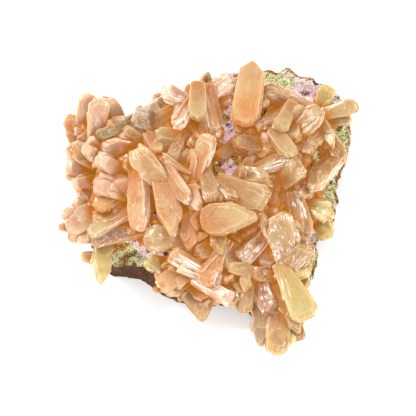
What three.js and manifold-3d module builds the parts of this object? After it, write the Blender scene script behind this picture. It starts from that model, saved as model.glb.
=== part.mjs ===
// Stilbite with mordenite: blades and sheaves of peach stilbite on a crust of felted mordenite,
// on a broken plate of basalt. Millimetres, +Z up. The origin is the middle of the specimen's footprint,
// seen from above with its crystals, on the surface that it lies on.
import * as THREE from "three";
import { mergeVertices } from "three/addons/utils/BufferGeometryUtils.js";
import Module from "manifold-3d";

// Driving dimensions
const SPECIMEN_WIDTH = 111; // across all crystals
const STONE_RIM_HEIGHT = 13.5; // top of the basalt at its edge
const STONE_DOME = 3.2; // how much higher its middle is
const CRUST_THICKNESS = 2.8;
const CRUST_EDGE_THICKNESS = 1.6;
const FIT_GAP = 0.3; // between pieces that touch
const TIP_THINNING = 0.66; // the wedge's thickness at its edge against the blade's
const TIP_WEDGE_SHARE = 0.22; // how near to the tip that is, in half widths
const BLADE_TAIL = 2.5; // how far a blade runs on below its visible root

// The picture is 416 pixels square, and is taken from the front, nearly from above.
// Places are read off it as a column, a row and a height above the base.
const SPECIMEN_PIXELS = 301;
const MM_PER_PIXEL = SPECIMEN_WIDTH / SPECIMEN_PIXELS;
const CENTRE_COLUMN = 208.7;
const CENTRE_ROW = 221.8; // the row in which the origin itself would show
const LEAN = THREE.MathUtils.degToRad(10); // of the line of sight off the vertical

const wasm = await Module();
wasm.setup();

function placeSeenAt([column, row], height) {
  const across = (column - CENTRE_COLUMN) * MM_PER_PIXEL;
  const up = (CENTRE_ROW - row) * MM_PER_PIXEL;
  return new THREE.Vector3(across, (up - height * Math.sin(LEAN)) / Math.cos(LEAN), height);
}

// The basalt plate's rim, clockwise from its north corner, as columns and rows at the height of its top edge
const RIM = [
  [232, 73], [248, 70], [264, 68], [279, 71], [288, 66], [301, 75], [314, 79], [329, 86], [341, 97],
  [350, 110], [352, 128], [351, 147], [345, 165], [337, 184], [338, 204], [336, 219], [327, 232],
  [316, 243], [318, 261], [312, 279], [306, 292], [305, 308], [293, 323], [274, 330], [257, 322],
  [246, 307], [232, 301], [207, 300], [184, 292], [166, 284], [155, 275], [144, 268], [131, 266],
  [115, 267], [101, 255], [91, 236], [84, 212], [80, 184], [82, 155], [90, 134], [106, 122], [130, 115],
  [151, 109], [172, 100], [192, 92], [214, 80],
];
const STONE_MIDDLE = [212, 184];
const RIM_STEPS = 36;

const rimLine = new THREE.CatmullRomCurve3(
  RIM.map((place) => placeSeenAt(place, STONE_RIM_HEIGHT)), true, "centripetal",
).getSpacedPoints(RIM_STEPS).slice(0, RIM_STEPS);
const stoneMiddle = placeSeenAt(STONE_MIDDLE, STONE_RIM_HEIGHT);

// The rim drawn in towards the middle of the plate: share 1 is the rim itself
function rimPoint(step, share, outwards = 0) {
  const spoke = rimLine[step].clone().sub(stoneMiddle).setZ(0);
  const reach = spoke.length() * share + outwards;
  return spoke.setLength(reach).add(stoneMiddle);
}

// Waves that make the stone and the crust uneven: heights, and lengths between crests over a full turn
const SWELL_HEIGHT = 0.7;
const SWELL_LENGTHS = [7, 9];
const SWELL_START = 1.3;
const BUMP_HEIGHT = 0.35;
const BUMP_LENGTHS = [3.1, 4.3];
const SWELL_LEFT_AT_RIM = 0.5;
const LUMP_HEIGHT = 0.3;
const LUMP_LENGTHS = [2.3, 3.7, 2.6, 5.2];
const CRUST_THINNING = 4; // the power of the share at which the crust thins towards its edge

function unevenness(x, y) {
  const swell = Math.sin(x / SWELL_LENGTHS[0] + SWELL_START) * Math.cos(y / SWELL_LENGTHS[1]);
  const bumps = Math.sin(x / BUMP_LENGTHS[0] + y / BUMP_LENGTHS[1]);
  return SWELL_HEIGHT * swell + BUMP_HEIGHT * bumps;
}

function stoneTop(x, y, share) {
  const calming = 1 - (1 - SWELL_LEFT_AT_RIM) * share;
  return STONE_RIM_HEIGHT + STONE_DOME * (1 - share * share) + unevenness(x, y) * calming;
}

function crustTop(x, y, share) {
  const thick = THREE.MathUtils.lerp(CRUST_THICKNESS, CRUST_EDGE_THICKNESS, share ** CRUST_THINNING);
  const [a, b, c, d] = LUMP_LENGTHS;
  const lumps = LUMP_HEIGHT * Math.sin(x / a + y / b) * Math.sin(y / c - x / d);
  return stoneTop(x, y, share) + FIT_GAP + thick + lumps * (1 - share);
}

// Two triangles from a four-sided face, split along its shorter diagonal
function splitShorter([a, b, c, d], points) {
  const first = points[a].distanceTo(points[c]);
  const second = points[b].distanceTo(points[d]);
  return first < second ? [a, b, c, a, c, d] : [a, b, d, b, c, d];
}

// A closed solid from rings of points, each ring with the same count, between two end points
function ringSolid(firstPoint, rings, lastPoint) {
  const points = [firstPoint, ...rings.flat(), lastPoint];
  const count = rings[0].length;
  const faces = [];
  const at = (ring, step) => 1 + ring * count + (step % count);
  for (let step = 0; step < count; step++) {
    faces.push(0, at(0, step), at(0, step + 1));
    for (let ring = 0; ring + 1 < rings.length; ring++) {
      const quad = [at(ring, step), at(ring + 1, step), at(ring + 1, step + 1), at(ring, step + 1)];
      faces.push(...splitShorter(quad, points));
    }
    faces.push(at(rings.length - 1, step + 1), at(rings.length - 1, step), points.length - 1);
  }
  const geometry = new THREE.BufferGeometry().setFromPoints(points);
  return geometry.setIndex(faces);
}

const ringOf = (place) => rimLine.map((_, step) => place(step));

// How far a broken edge juts out at a step, in millimetres, different for each variant
const JAG_HEIGHTS = [0.9, 0.5];
const JAG_RATES = [2.4, 5.3];
function jag(step, variant) {
  const wide = Math.sin(step * JAG_RATES[0] + variant);
  const narrow = Math.sin(step * JAG_RATES[1] + 2 * variant);
  return JAG_HEIGHTS[0] * wide + JAG_HEIGHTS[1] * narrow;
}
const RIM_JAG = 0.25; // share of the jag that the rim takes
const RIM_VARIANT = 5;

// The rings that a top or underside is drawn through, as shares of the rim, from the middle outwards
const SHEET_SHARES = [0.3, 0.6, 0.85, 1];

function surfaceRing(share, height, outwards = 0) {
  return ringOf((step) => {
    const p = rimPoint(step, share, share === 1 ? RIM_JAG * jag(step, RIM_VARIANT) + outwards : 0);
    return p.setZ(height(p.x, p.y, share));
  });
}

function surfaceMiddle(height) {
  return stoneMiddle.clone().setZ(height(stoneMiddle.x, stoneMiddle.y, 0));
}

// A sheet between two heights, with its edge moved outwards
function sheet(lower, upper, outwards = 0) {
  const up = SHEET_SHARES.map((share) => surfaceRing(share, lower, outwards));
  const down = SHEET_SHARES.toReversed().map((share) => surfaceRing(share, upper, outwards));
  return ringSolid(surfaceMiddle(lower), [...up, ...down], surfaceMiddle(upper));
}

// The plate: a flat broken base, sides that swell and step in, and a gently domed top.
// The front left side stands nearly upright, and the others are undercut.
const UNDERCUT = 4.2;
const UPRIGHT_BEARING = -2.15; // of the upright side, in radians from +X
const UPRIGHT_EXTRA = 4.4; // how much less it is undercut
const SIDE_RINGS = [ // height, share of the undercut, and share of the jag
  [0, 1, 0.6], [2.2, 0.75, 0.8], [6.5, 0.3, 0.8], [10.5, 0.05, 0.8],
];

function undercutAt(step) {
  const spoke = rimPoint(step, 1).sub(stoneMiddle);
  const upright = Math.max(0, Math.cos(Math.atan2(spoke.y, spoke.x) - UPRIGHT_BEARING));
  return UNDERCUT - UPRIGHT_EXTRA * upright;
}

function basaltPlate() {
  const side = SIDE_RINGS.map(([height, undercut, jagged], variant) => ringOf((step) => {
    const outwards = jag(step, variant) * jagged - undercutAt(step) * undercut;
    return rimPoint(step, 1, outwards).setZ(height);
  }));
  const top = SHEET_SHARES.toReversed().map((share) => surfaceRing(share, stoneTop));
  return ringSolid(stoneMiddle.clone().setZ(0), [...side, ...top], surfaceMiddle(stoneTop));
}

// Ends of a blade's broad face, from its right shoulder to its left one, in half widths:
// [across, back from the tip]
const ENDS = {
  gable: [[1, 1.0], [0.16, 0], [-0.12, 0], [-1, 0.85]],
  slant: [[1, 1.25], [-0.1, 0], [-0.5, 0.05], [-1, 0.5]],
  blunt: [[1, 0.42], [0.7, 0.06], [-0.55, 0], [-1, 0.36]],
  round: [[1, 0.85], [0.7, 0.16], [0, 0], [-0.7, 0.2], [-1, 0.8]],
};

// A blade is thinner at its root, and its end is a wedge.
function thinTowardsEnds(points, length, half, flare) {
  for (let i = 0; i < points.count; i++) {
    const along = points.getY(i);
    const share = THREE.MathUtils.clamp(along / length, 0, 1);
    const rootThinning = THREE.MathUtils.lerp(1 / Math.sqrt(flare), 1, share);
    const tipThinning = along > length - half * TIP_WEDGE_SHARE ? TIP_THINNING : 1;
    points.setZ(i, points.getZ(i) * rootThinning * tipThinning);
  }
}

const TAIL_WIDTH = 0.8; // of the tail against the root
const BACK_LENGTH = 0.8; // of a shaped root end against a tip of its width

// One blade as a solid: the outline of its broad face, extruded through its thickness.
// It widens from root to tip, and roll turns it about its length.
function blade({ root, tip, low, high, wide, thick, roll = 0, end = "gable", flare = 1.25, back }, grow = 0) {
  const from = placeSeenAt(root, low);
  const to = placeSeenAt(tip, high);
  const axis = to.clone().sub(from);
  const length = axis.length() + grow;
  axis.normalize();
  const half = wide / 2 + grow;
  const rootHalf = wide / 2 / flare + grow;
  const start = -BLADE_TAIL - grow;
  const edge = ([across, behind]) => [across * half, length - behind * half];
  const rootEdge = ([across, behind]) => [-across * rootHalf, behind * rootHalf * BACK_LENGTH - grow];
  const tail = [[-rootHalf * TAIL_WIDTH, start], [rootHalf * TAIL_WIDTH, start]];
  const outline = [...(back ? ENDS[back].map(rootEdge) : tail), ...ENDS[end].map(edge)];
  const shape = new THREE.Shape(outline.map(([x, y]) => new THREE.Vector2(x, y)));

  const depth = thick + 2 * grow;
  const geometry = new THREE.ExtrudeGeometry(shape, { depth, bevelEnabled: false });
  geometry.translate(0, 0, -depth / 2);
  thinTowardsEnds(geometry.attributes.position, length, half, flare);

  const up = new THREE.Vector3(0, 0, 1);
  const face = up.addScaledVector(axis, -up.dot(axis)).normalize();
  face.applyAxisAngle(axis, THREE.MathUtils.degToRad(roll));
  const across = new THREE.Vector3().crossVectors(axis, face);
  const turn = new THREE.Matrix4().makeBasis(across, axis, face).setPosition(from);
  return geometry.applyMatrix4(turn);
}

// Booleans
const MERGE_DISTANCE = 1e-3;

function solidOf(geometry) {
  const bare = geometry.clone();
  bare.deleteAttribute("normal");
  bare.deleteAttribute("uv");
  const merged = mergeVertices(bare, MERGE_DISTANCE);
  return new wasm.Manifold(new wasm.Mesh({
    numProp: 3,
    vertProperties: new Float32Array(merged.attributes.position.array),
    triVerts: new Uint32Array(merged.index.array),
  }));
}

function geometryOf(solid) {
  const { vertProperties, triVerts, numProp } = solid.getMesh();
  const places = new Float32Array((vertProperties.length / numProp) * 3);
  for (let i = 0; i * numProp < vertProperties.length; i++) {
    places.set(vertProperties.subarray(i * numProp, i * numProp + 3), i * 3);
  }
  const geometry = new THREE.BufferGeometry();
  geometry.setAttribute("position", new THREE.BufferAttribute(places, 3));
  geometry.setIndex(new THREE.BufferAttribute(triVerts, 1));
  geometry.computeVertexNormals();
  return geometry;
}

// The stilbite, group by group. A blade's row gives where its root and tip show in the picture,
// their heights, its width and thickness, its roll in degrees, and the form of its end.
// A bed is the low mass of grown-together stilbite that a group's blades stand in.
const GROUPS = {
  centre_sheaf: {
    beds: [
      { top: 27, outline: [
        [142, 150], [178, 135], [200, 140], [206, 168], [213, 190], [196, 212], [194, 244], [172, 244],
        [168, 222], [160, 196], [150, 186], [142, 206], [130, 204], [132, 172],
      ] },
      { top: 28, outline: [
        [206, 208], [222, 190], [262, 184], [276, 196], [268, 222], [240, 234], [206, 234],
      ] },
    ],
    blades: [
      {
        root: [172, 190], tip: [136, 151], low: 28, high: 41,
        wide: 8, thick: 6, roll: -30, end: "blunt",
      },
      {
        root: [139, 158], tip: [138, 232], low: 30, high: 31,
        wide: 7.4, thick: 5.6, roll: 30, end: "round", flare: 1.05,
      },
      { root: [148, 176], tip: [149, 224], low: 25, high: 27, wide: 2.8, thick: 3, end: "gable" },
      {
        root: [157, 165], tip: [176, 236], low: 31, high: 35,
        wide: 9.4, thick: 5, roll: -8, end: "gable",
      },
      {
        root: [166, 164], tip: [189, 206], low: 33, high: 34,
        wide: 6, thick: 4, roll: 20, end: "gable",
      },
      {
        root: [184, 240], tip: [143, 238], low: 28, high: 32,
        wide: 9.6, thick: 6, end: "round", flare: 1.1,
      },
      {
        root: [190, 200], tip: [189, 253], low: 28, high: 31,
        wide: 6.2, thick: 4, end: "gable", flare: 1.1,
      },
      {
        root: [197, 173], tip: [209, 134], low: 30, high: 37,
        wide: 7, thick: 5, roll: -22, end: "blunt", flare: 1.1,
      },
      {
        root: [184, 146], tip: [150, 141], low: 27, high: 31,
        wide: 5.4, thick: 4, roll: -20, end: "gable",
      },
      {
        root: [181, 142], tip: [171, 161], low: 29, high: 33,
        wide: 5.2, thick: 4, roll: 20, end: "round",
      },
      { root: [184, 170], tip: [162, 153], low: 31, high: 34, wide: 1.9, thick: 3, end: "gable" },
      { root: [184, 171], tip: [163, 161], low: 32, high: 34.5, wide: 1.7, thick: 3, end: "gable" },
      { root: [190, 188], tip: [203, 187], low: 32, high: 33, wide: 3, thick: 2.4, end: "gable" },
      {
        root: [193, 180], tip: [197, 211], low: 29, high: 35,
        wide: 5.2, thick: 4, roll: 30, end: "gable",
      },
      {
        root: [204, 172], tip: [212, 200], low: 30, high: 36,
        wide: 6, thick: 5, roll: -10, end: "blunt",
      },
      {
        root: [212, 183], tip: [237, 199], low: 31, high: 35,
        wide: 3.6, thick: 4, roll: -30, end: "gable",
      },
      { root: [164, 228], tip: [157, 213], low: 23, high: 25, wide: 4, thick: 3, end: "gable" },
      {
        root: [201, 220], tip: [258, 217], low: 33, high: 37,
        wide: 13.2, thick: 5, end: "gable", back: "round",
      },
      { root: [222, 186], tip: [268, 204], low: 30, high: 33, wide: 11.5, thick: 5, end: "blunt" },
      { root: [243, 184], tip: [242, 166], low: 28, high: 34, wide: 3, thick: 2.6, end: "gable" },
      { root: [274, 178], tip: [270, 208], low: 25, high: 28, wide: 6, thick: 4, end: "slant" },
      { root: [278, 190], tip: [281, 216], low: 23, high: 25, wide: 6, thick: 4, end: "gable" },
      { root: [272, 206], tip: [256, 227], low: 26, high: 29, wide: 5.4, thick: 4, end: "blunt" },
      { root: [232, 230], tip: [240, 243], low: 25, high: 27, wide: 4, thick: 3, end: "blunt" },
    ],
  },
  crossed_bars: {
    beds: [
      { top: 25, outline: [
        [238, 142], [262, 133], [276, 143], [286, 164], [296, 168], [288, 182], [262, 182], [258, 170],
        [270, 156], [268, 152], [240, 150],
      ] },
    ],
    blades: [
      {
        root: [244, 176], tip: [288, 157], low: 25.5, high: 33,
        wide: 4.8, thick: 4.2, roll: -40, end: "blunt",
      },
      { root: [283, 181], tip: [300, 162], low: 26, high: 36, wide: 9.5, thick: 5, end: "blunt" },
      { root: [260, 184], tip: [278, 176], low: 25, high: 27, wide: 2.8, thick: 2.6, end: "gable" },
      {
        root: [274, 148], tip: [231, 141], low: 25, high: 29,
        wide: 6.4, thick: 5, roll: 15, end: "round", flare: 1.05,
      },
      { root: [238, 141], tip: [217, 161], low: 22, high: 25, wide: 5.4, thick: 4, end: "round" },
      { root: [278, 149], tip: [232, 151], low: 22, high: 24, wide: 2.8, thick: 3, end: "gable" },
      { root: [262, 134], tip: [257, 122], low: 26, high: 32, wide: 3, thick: 3, end: "round" },
      { root: [272, 142], tip: [263, 134], low: 28, high: 33, wide: 3.6, thick: 3.4, end: "round" },
      { root: [266, 138], tip: [246, 129], low: 24, high: 28, wide: 3.8, thick: 3.6, end: "round" },
    ],
  },
  northeast_sheaf: {
    beds: [
      { top: 25, outline: [
        [262, 90], [300, 98], [320, 110], [318, 132], [304, 146], [284, 144], [268, 128], [274, 110],
        [262, 102],
      ] },
      { top: 30, outline: [
        [241, 80], [258, 76], [266, 92], [264, 102], [254, 116], [241, 114],
      ] },
      { top: 24, outline: [
        [296, 126], [318, 108], [332, 104], [338, 118], [332, 128], [336, 142], [328, 146], [306, 144],
      ] },
    ],
    blades: [
      {
        root: [254, 62], tip: [243, 127], low: 33, high: 31,
        wide: 10, thick: 6, roll: 8, end: "round", back: "gable", flare: 1.1,
      },
      { root: [258, 94], tip: [267, 105], low: 27, high: 31, wide: 3.6, thick: 3, end: "blunt" },
      {
        root: [316, 112], tip: [262, 88], low: 25, high: 29,
        wide: 6.4, thick: 5, roll: -35, end: "round",
      },
      {
        root: [290, 108], tip: [262, 127], low: 26, high: 32,
        wide: 5.6, thick: 5, roll: 40, end: "slant",
      },
      { root: [290, 108], tip: [279, 131], low: 30, high: 35, wide: 6.4, thick: 4, end: "blunt" },
      {
        root: [272, 130], tip: [294, 158], low: 31, high: 36,
        wide: 6.4, thick: 5, roll: -15, end: "round", back: "blunt",
      },
      { root: [292, 142], tip: [315, 153], low: 27, high: 30, wide: 5, thick: 4, end: "round" },
      {
        root: [292, 138], tip: [320, 109], low: 25.5, high: 34,
        wide: 8, thick: 5, roll: 20, end: "blunt",
      },
      { root: [322, 115], tip: [359, 104], low: 24, high: 28, wide: 6.4, thick: 4.5, end: "round" },
      { root: [326, 123], tip: [353, 118], low: 21, high: 24, wide: 4.4, thick: 3.6, end: "round" },
      { root: [321, 111], tip: [330, 85], low: 22, high: 27, wide: 6.4, thick: 4, end: "blunt" },
      {
        root: [322, 120], tip: [334, 148], low: 25, high: 28,
        wide: 5, thick: 4, roll: 20, end: "gable",
      },
      { root: [330, 138], tip: [346, 163], low: 22, high: 24, wide: 6, thick: 3.6, end: "gable" },
      { root: [322, 134], tip: [306, 148], low: 25, high: 29, wide: 5.5, thick: 4, end: "round" },
    ],
  },
  east_blades: {
    beds: [
      { top: 21, outline: [
        [338, 162], [322, 166], [306, 184], [304, 200], [316, 226], [328, 220], [326, 204], [316, 190],
      ] },
    ],
    blades: [
      {
        root: [338, 157], tip: [305, 190], low: 23, high: 29,
        wide: 8.6, thick: 4.5, roll: 25, end: "slant",
      },
      { root: [316, 184], tip: [298, 198], low: 24, high: 29, wide: 5.2, thick: 4, end: "round" },
      { root: [308, 205], tip: [334, 216], low: 22, high: 26, wide: 8, thick: 4, end: "gable" },
      { root: [318, 218], tip: [328, 239], low: 19, high: 22, wide: 7.2, thick: 4, end: "blunt" },
    ],
  },
  southeast_fan: {
    beds: [
      { top: 26, outline: [
        [276, 248], [300, 230], [308, 268], [300, 296], [292, 312], [266, 308], [258, 290], [274, 280],
      ] },
    ],
    blades: [
      {
        root: [290, 182], tip: [304, 240], low: 24, high: 27.5,
        wide: 7.2, thick: 5, roll: 25, end: "round",
      },
      { root: [304, 218], tip: [306, 239], low: 27, high: 31, wide: 5.8, thick: 3.6, end: "round" },
      {
        root: [287, 268], tip: [280, 211], low: 28, high: 39,
        wide: 11.4, thick: 5, roll: -15, end: "round", flare: 1.7,
      },
      {
        root: [286, 272], tip: [306, 244], low: 28, high: 35,
        wide: 8.8, thick: 5, roll: 10, end: "round", flare: 1.6,
      },
      { root: [300, 258], tip: [303, 290], low: 24, high: 27, wide: 4.4, thick: 4, end: "gable" },
      {
        root: [282, 270], tip: [308, 318], low: 29, high: 34,
        wide: 10, thick: 6, end: "blunt", flare: 1.45,
      },
      {
        root: [262, 284], tip: [272, 316], low: 26, high: 29,
        wide: 7.6, thick: 5, roll: 20, end: "gable",
      },
      {
        root: [262, 300], tip: [257, 348], low: 24, high: 26,
        wide: 6.6, thick: 4, roll: 10, end: "slant", flare: 1.6,
      },
      {
        root: [278, 304], tip: [276, 355], low: 26, high: 29,
        wide: 9.8, thick: 5, roll: -10, end: "round", flare: 1.4,
      },
      { root: [276, 292], tip: [299, 332], low: 26, high: 30, wide: 4.8, thick: 4, end: "gable" },
      { root: [290, 308], tip: [300, 340], low: 23, high: 25, wide: 5.5, thick: 3.4, end: "blunt" },
    ],
  },
  south_sheaf: {
    beds: [
      { top: 25, outline: [
        [158, 262], [186, 252], [206, 240], [230, 238], [238, 262], [232, 284], [206, 296], [180, 288],
        [164, 282],
      ] },
      { top: 25, outline: [
        [240, 240], [266, 236], [274, 252], [276, 272], [262, 282], [250, 296], [238, 292], [234, 272],
        [240, 258],
      ] },
    ],
    blades: [
      {
        root: [194, 280], tip: [203, 321], low: 20, high: 24,
        wide: 13.5, thick: 4.5, roll: 5, end: "gable",
      },
      {
        root: [200, 282], tip: [232, 300], low: 28, high: 32,
        wide: 5, thick: 5.6, roll: 75, end: "blunt",
      },
      { root: [222, 288], tip: [239, 303], low: 26, high: 28, wide: 5, thick: 5, end: "blunt" },
      {
        root: [206, 274], tip: [170, 253], low: 29, high: 34,
        wide: 5, thick: 6.4, roll: 60, end: "blunt",
      },
      { root: [190, 272], tip: [157, 286], low: 25, high: 30, wide: 8.6, thick: 5.5, end: "round" },
      { root: [186, 280], tip: [168, 294], low: 23, high: 26, wide: 6, thick: 4, end: "round" },
      { root: [172, 264], tip: [143, 262], low: 21, high: 25, wide: 5.4, thick: 4, end: "gable" },
      { root: [172, 262], tip: [162, 266], low: 25, high: 27, wide: 2.4, thick: 2, end: "gable" },
      {
        root: [226, 248], tip: [203, 285], low: 29, high: 33,
        wide: 7, thick: 4.6, roll: 25, end: "blunt",
      },
      { root: [214, 244], tip: [196, 258], low: 27, high: 31, wide: 6.4, thick: 4, end: "blunt" },
      { root: [216, 232], tip: [222, 254], low: 28, high: 34, wide: 6, thick: 3.6, end: "gable" },
      { root: [204, 272], tip: [190, 278], low: 27, high: 29, wide: 3, thick: 3, end: "blunt" },
      {
        root: [264, 236], tip: [239, 262], low: 27, high: 31,
        wide: 7, thick: 7, roll: 65, end: "blunt",
      },
      { root: [272, 243], tip: [264, 268], low: 26, high: 29, wide: 6, thick: 4, end: "blunt" },
      { root: [254, 272], tip: [226, 266], low: 29, high: 32, wide: 5.4, thick: 3.6, end: "round" },
      { root: [246, 268], tip: [244, 292], low: 29, high: 31, wide: 4.8, thick: 3.6, end: "gable" },
      { root: [276, 278], tip: [250, 271], low: 26, high: 30, wide: 6, thick: 4, end: "round" },
      { root: [248, 280], tip: [243, 314], low: 26, high: 28, wide: 6.8, thick: 4.4, end: "round" },
      { root: [240, 280], tip: [237, 294], low: 26, high: 29, wide: 2.6, thick: 2.4, end: "gable" },
      { root: [240, 279], tip: [225, 275], low: 25, high: 28, wide: 2.6, thick: 2.4, end: "gable" },
    ],
  },
  north_sheaf: {
    beds: [
      { top: 26, outline: [
        [192, 88], [206, 80], [226, 84], [222, 102], [218, 124], [204, 134], [192, 128],
      ] },
      { top: 24, outline: [
        [140, 118], [160, 100], [188, 94], [194, 112], [190, 134], [164, 134], [142, 136],
      ] },
    ],
    blades: [
      {
        root: [198, 82], tip: [197, 121], low: 33, high: 34,
        wide: 6.6, thick: 5, end: "round", back: "blunt",
      },
      {
        root: [205, 84], tip: [213, 136], low: 31, high: 30,
        wide: 7.6, thick: 4.5, roll: -30, end: "round", back: "blunt",
      },
      { root: [205, 90], tip: [210, 72], low: 26, high: 30, wide: 4.4, thick: 3, end: "slant" },
      {
        root: [208, 95], tip: [235, 78], low: 27, high: 30,
        wide: 8.4, thick: 5, roll: -12, end: "blunt",
      },
      { root: [212, 104], tip: [235, 97], low: 25, high: 28, wide: 4.4, thick: 4, end: "slant" },
      { root: [190, 118], tip: [198, 140], low: 26, high: 31, wide: 2.2, thick: 2.4, end: "gable" },
      { root: [200, 116], tip: [205, 137], low: 28, high: 30, wide: 3, thick: 2.4, end: "gable" },
      {
        root: [148, 143], tip: [123, 128], low: 27, high: 32,
        wide: 3.6, thick: 3.5, roll: -15, end: "round",
      },
      {
        root: [152, 126], tip: [136, 112], low: 25, high: 33,
        wide: 9, thick: 6, roll: 15, end: "blunt",
      },
      {
        root: [190, 104], tip: [162, 90], low: 26, high: 32,
        wide: 6.4, thick: 5, roll: 32, end: "blunt",
      },
      {
        root: [170, 98], tip: [153, 109], low: 22, high: 27,
        wide: 6.4, thick: 4, roll: -15, end: "blunt",
      },
      {
        root: [186, 106], tip: [134, 133], low: 25, high: 27.5,
        wide: 7.5, thick: 4, roll: -10, end: "blunt",
      },
      {
        root: [192, 102], tip: [176, 128], low: 29, high: 34,
        wide: 4.8, thick: 4.5, roll: 30, end: "blunt",
      },
      { root: [192, 116], tip: [164, 135], low: 23, high: 25, wide: 6.4, thick: 3, end: "gable" },
    ],
  },
  west_sheaf: {
    beds: [
      { top: 25, outline: [
        [90, 150], [128, 142], [130, 160], [130, 196], [112, 204], [88, 196], [84, 176],
      ] },
      { top: 22, outline: [
        [84, 128], [100, 120], [124, 122], [126, 136], [104, 146], [84, 158], [76, 150], [78, 134],
      ] },
    ],
    blades: [
      { root: [128, 125], tip: [97, 137], low: 27, high: 31, wide: 4.4, thick: 4, end: "blunt" },
      {
        root: [131, 148], tip: [103, 145], low: 27, high: 33,
        wide: 7.4, thick: 4, roll: -25, end: "gable",
      },
      { root: [94, 164], tip: [72, 150], low: 25, high: 31, wide: 6.2, thick: 5, end: "round" },
      { root: [102, 163], tip: [84, 147], low: 26, high: 34, wide: 5, thick: 5, end: "round" },
      { root: [116, 172], tip: [99, 157], low: 27, high: 37, wide: 7.5, thick: 6, end: "round" },
      { root: [94, 170], tip: [66, 167], low: 21, high: 27, wide: 6, thick: 4, end: "round" },
      { root: [90, 176], tip: [65, 177], low: 21, high: 24, wide: 3.6, thick: 3, end: "round" },
      {
        root: [92, 180], tip: [74, 185], low: 24, high: 30,
        wide: 4.6, thick: 3, roll: -10, end: "blunt",
      },
      { root: [94, 190], tip: [78, 197], low: 20, high: 25, wide: 5, thick: 4, end: "round" },
      { root: [118, 194], tip: [96, 185], low: 27, high: 35, wide: 6.6, thick: 5, end: "round" },
      { root: [114, 190], tip: [97, 209], low: 25, high: 32, wide: 7.2, thick: 4.5, end: "round" },
      { root: [124, 198], tip: [108, 207], low: 25, high: 29, wide: 2.6, thick: 2.4, end: "gable" },
      { root: [128, 196], tip: [112, 215], low: 23, high: 27, wide: 4, thick: 3, end: "gable" },
      { root: [129, 152], tip: [118, 192], low: 24, high: 27, wide: 6, thick: 4, end: "blunt" },
      {
        root: [80, 135], tip: [88, 92], low: 18, high: 26,
        wide: 6.2, thick: 3.6, roll: 10, end: "round",
      },
      {
        root: [93, 150], tip: [99, 98], low: 22, high: 33,
        wide: 7.2, thick: 5, roll: 18, end: "blunt",
      },
      {
        root: [122, 132], tip: [108, 97], low: 20, high: 28,
        wide: 6.6, thick: 4, roll: 15, end: "round", flare: 1,
      },
      {
        root: [80, 150], tip: [71, 114], low: 18, high: 21,
        wide: 7.5, thick: 3, roll: -10, end: "blunt",
      },
      { root: [88, 152], tip: [66, 154], low: 18, high: 22, wide: 8, thick: 3, end: "blunt" },
      { root: [87, 134], tip: [74, 128], low: 21.5, high: 24, wide: 1.8, thick: 1.6, end: "blunt" },
      { root: [76, 124], tip: [66, 114], low: 18, high: 20, wide: 3.4, thick: 2.6, end: "round" },
    ],
  },
  southwest_blades: {
    beds: [
      { top: 22, outline: [
        [92, 206], [128, 202], [142, 226], [140, 236], [114, 240], [96, 240], [86, 226],
      ] },
    ],
    blades: [
      { root: [102, 206], tip: [66, 232], low: 21, high: 25, wide: 9.5, thick: 5, end: "round" },
      { root: [80, 222], tip: [63, 209], low: 22, high: 25, wide: 5.2, thick: 4, end: "round" },
      { root: [76, 228], tip: [58, 226], low: 21, high: 23, wide: 4, thick: 3.5, end: "round" },
      { root: [88, 226], tip: [81, 245], low: 22, high: 24, wide: 6, thick: 4, end: "round" },
      { root: [80, 228], tip: [70, 241], low: 21, high: 22.5, wide: 5, thick: 4, end: "round" },
      {
        root: [130, 212], tip: [88, 233], low: 26, high: 28,
        wide: 5, thick: 4, roll: 20, end: "blunt",
      },
      {
        root: [143, 229], tip: [90, 241], low: 23, high: 26,
        wide: 6, thick: 4, roll: 10, end: "blunt",
      },
      {
        root: [104, 236], tip: [101, 284], low: 20, high: 25,
        wide: 8, thick: 4.5, roll: -10, end: "gable", flare: 1.05,
      },
      { root: [100, 262], tip: [82, 251], low: 18.5, high: 20.5, wide: 6, thick: 3, end: "slant" },
    ],
  },
};

const BED_UNDERSIDE = 14.5;
const BED_SPREAD = 1.12; // a bed's outline at its underside against the one at its top

function centreOf(places) {
  return places.reduce((sum, place) => sum.add(place), new THREE.Vector3()).divideScalar(places.length);
}

// A bed: its outline shows at the height of its top, and it widens down to below the crust's surface
function bed({ outline, top }, grow = 0) {
  const places = outline.map((place) => placeSeenAt(place, top));
  const middle = centreOf(places);
  const foot = places.map((place) => place.sub(middle).multiplyScalar(BED_SPREAD)).map(({ x, y }) => [x, y]);
  const section = new wasm.CrossSection([foot.reverse()], "EvenOdd").offset(grow, "Miter");
  const topScale = 1 / BED_SPREAD;
  const height = top - BED_UNDERSIDE + 2 * grow;
  const mass = section.extrude(height, 0, 0, [topScale, topScale]);
  return mass.translate([middle.x, middle.y, BED_UNDERSIDE - grow]);
}

const SMALLEST_FEATURE = 0.15; // smaller steps, left where solids meet, are smoothed out
const NEIGHBOUR_GROWTH = 0.4; // a blade grown by this clears its neighbours by the fit gap

function groupSolid({ beds, blades }, grow = 0) {
  const parts = [...beds.map((row) => bed(row, grow)), ...blades.map((row) => solidOf(blade(row, grow)))];
  return wasm.Manifold.union(parts);
}

function largestPiece(solid) {
  return solid.decompose().reduce((best, piece) => (piece.volume() > best.volume() ? piece : best));
}

function crustUnderside(x, y, share) {
  return stoneTop(x, y, share) + FIT_GAP;
}

function crystalUnderside(x, y, share) {
  return crustTop(x, y, share) + FIT_GAP;
}

// The mass under the crystals, from low in the stone up to the gap, that each group is cut off by
const LOW_IN_STONE = 1;
const underCrystals = solidOf(sheet(() => LOW_IN_STONE, crystalUnderside, FIT_GAP));

const MATERIALS = {
  stilbite: { color: 0xeaa678, roughness: 0.4, metalness: 0 },
  mordenite: { color: 0xe3d3cc, roughness: 0.9, metalness: 0 },
  basalt: { color: 0x5b3b2a, roughness: 0.95, metalness: 0 },
};

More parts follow.
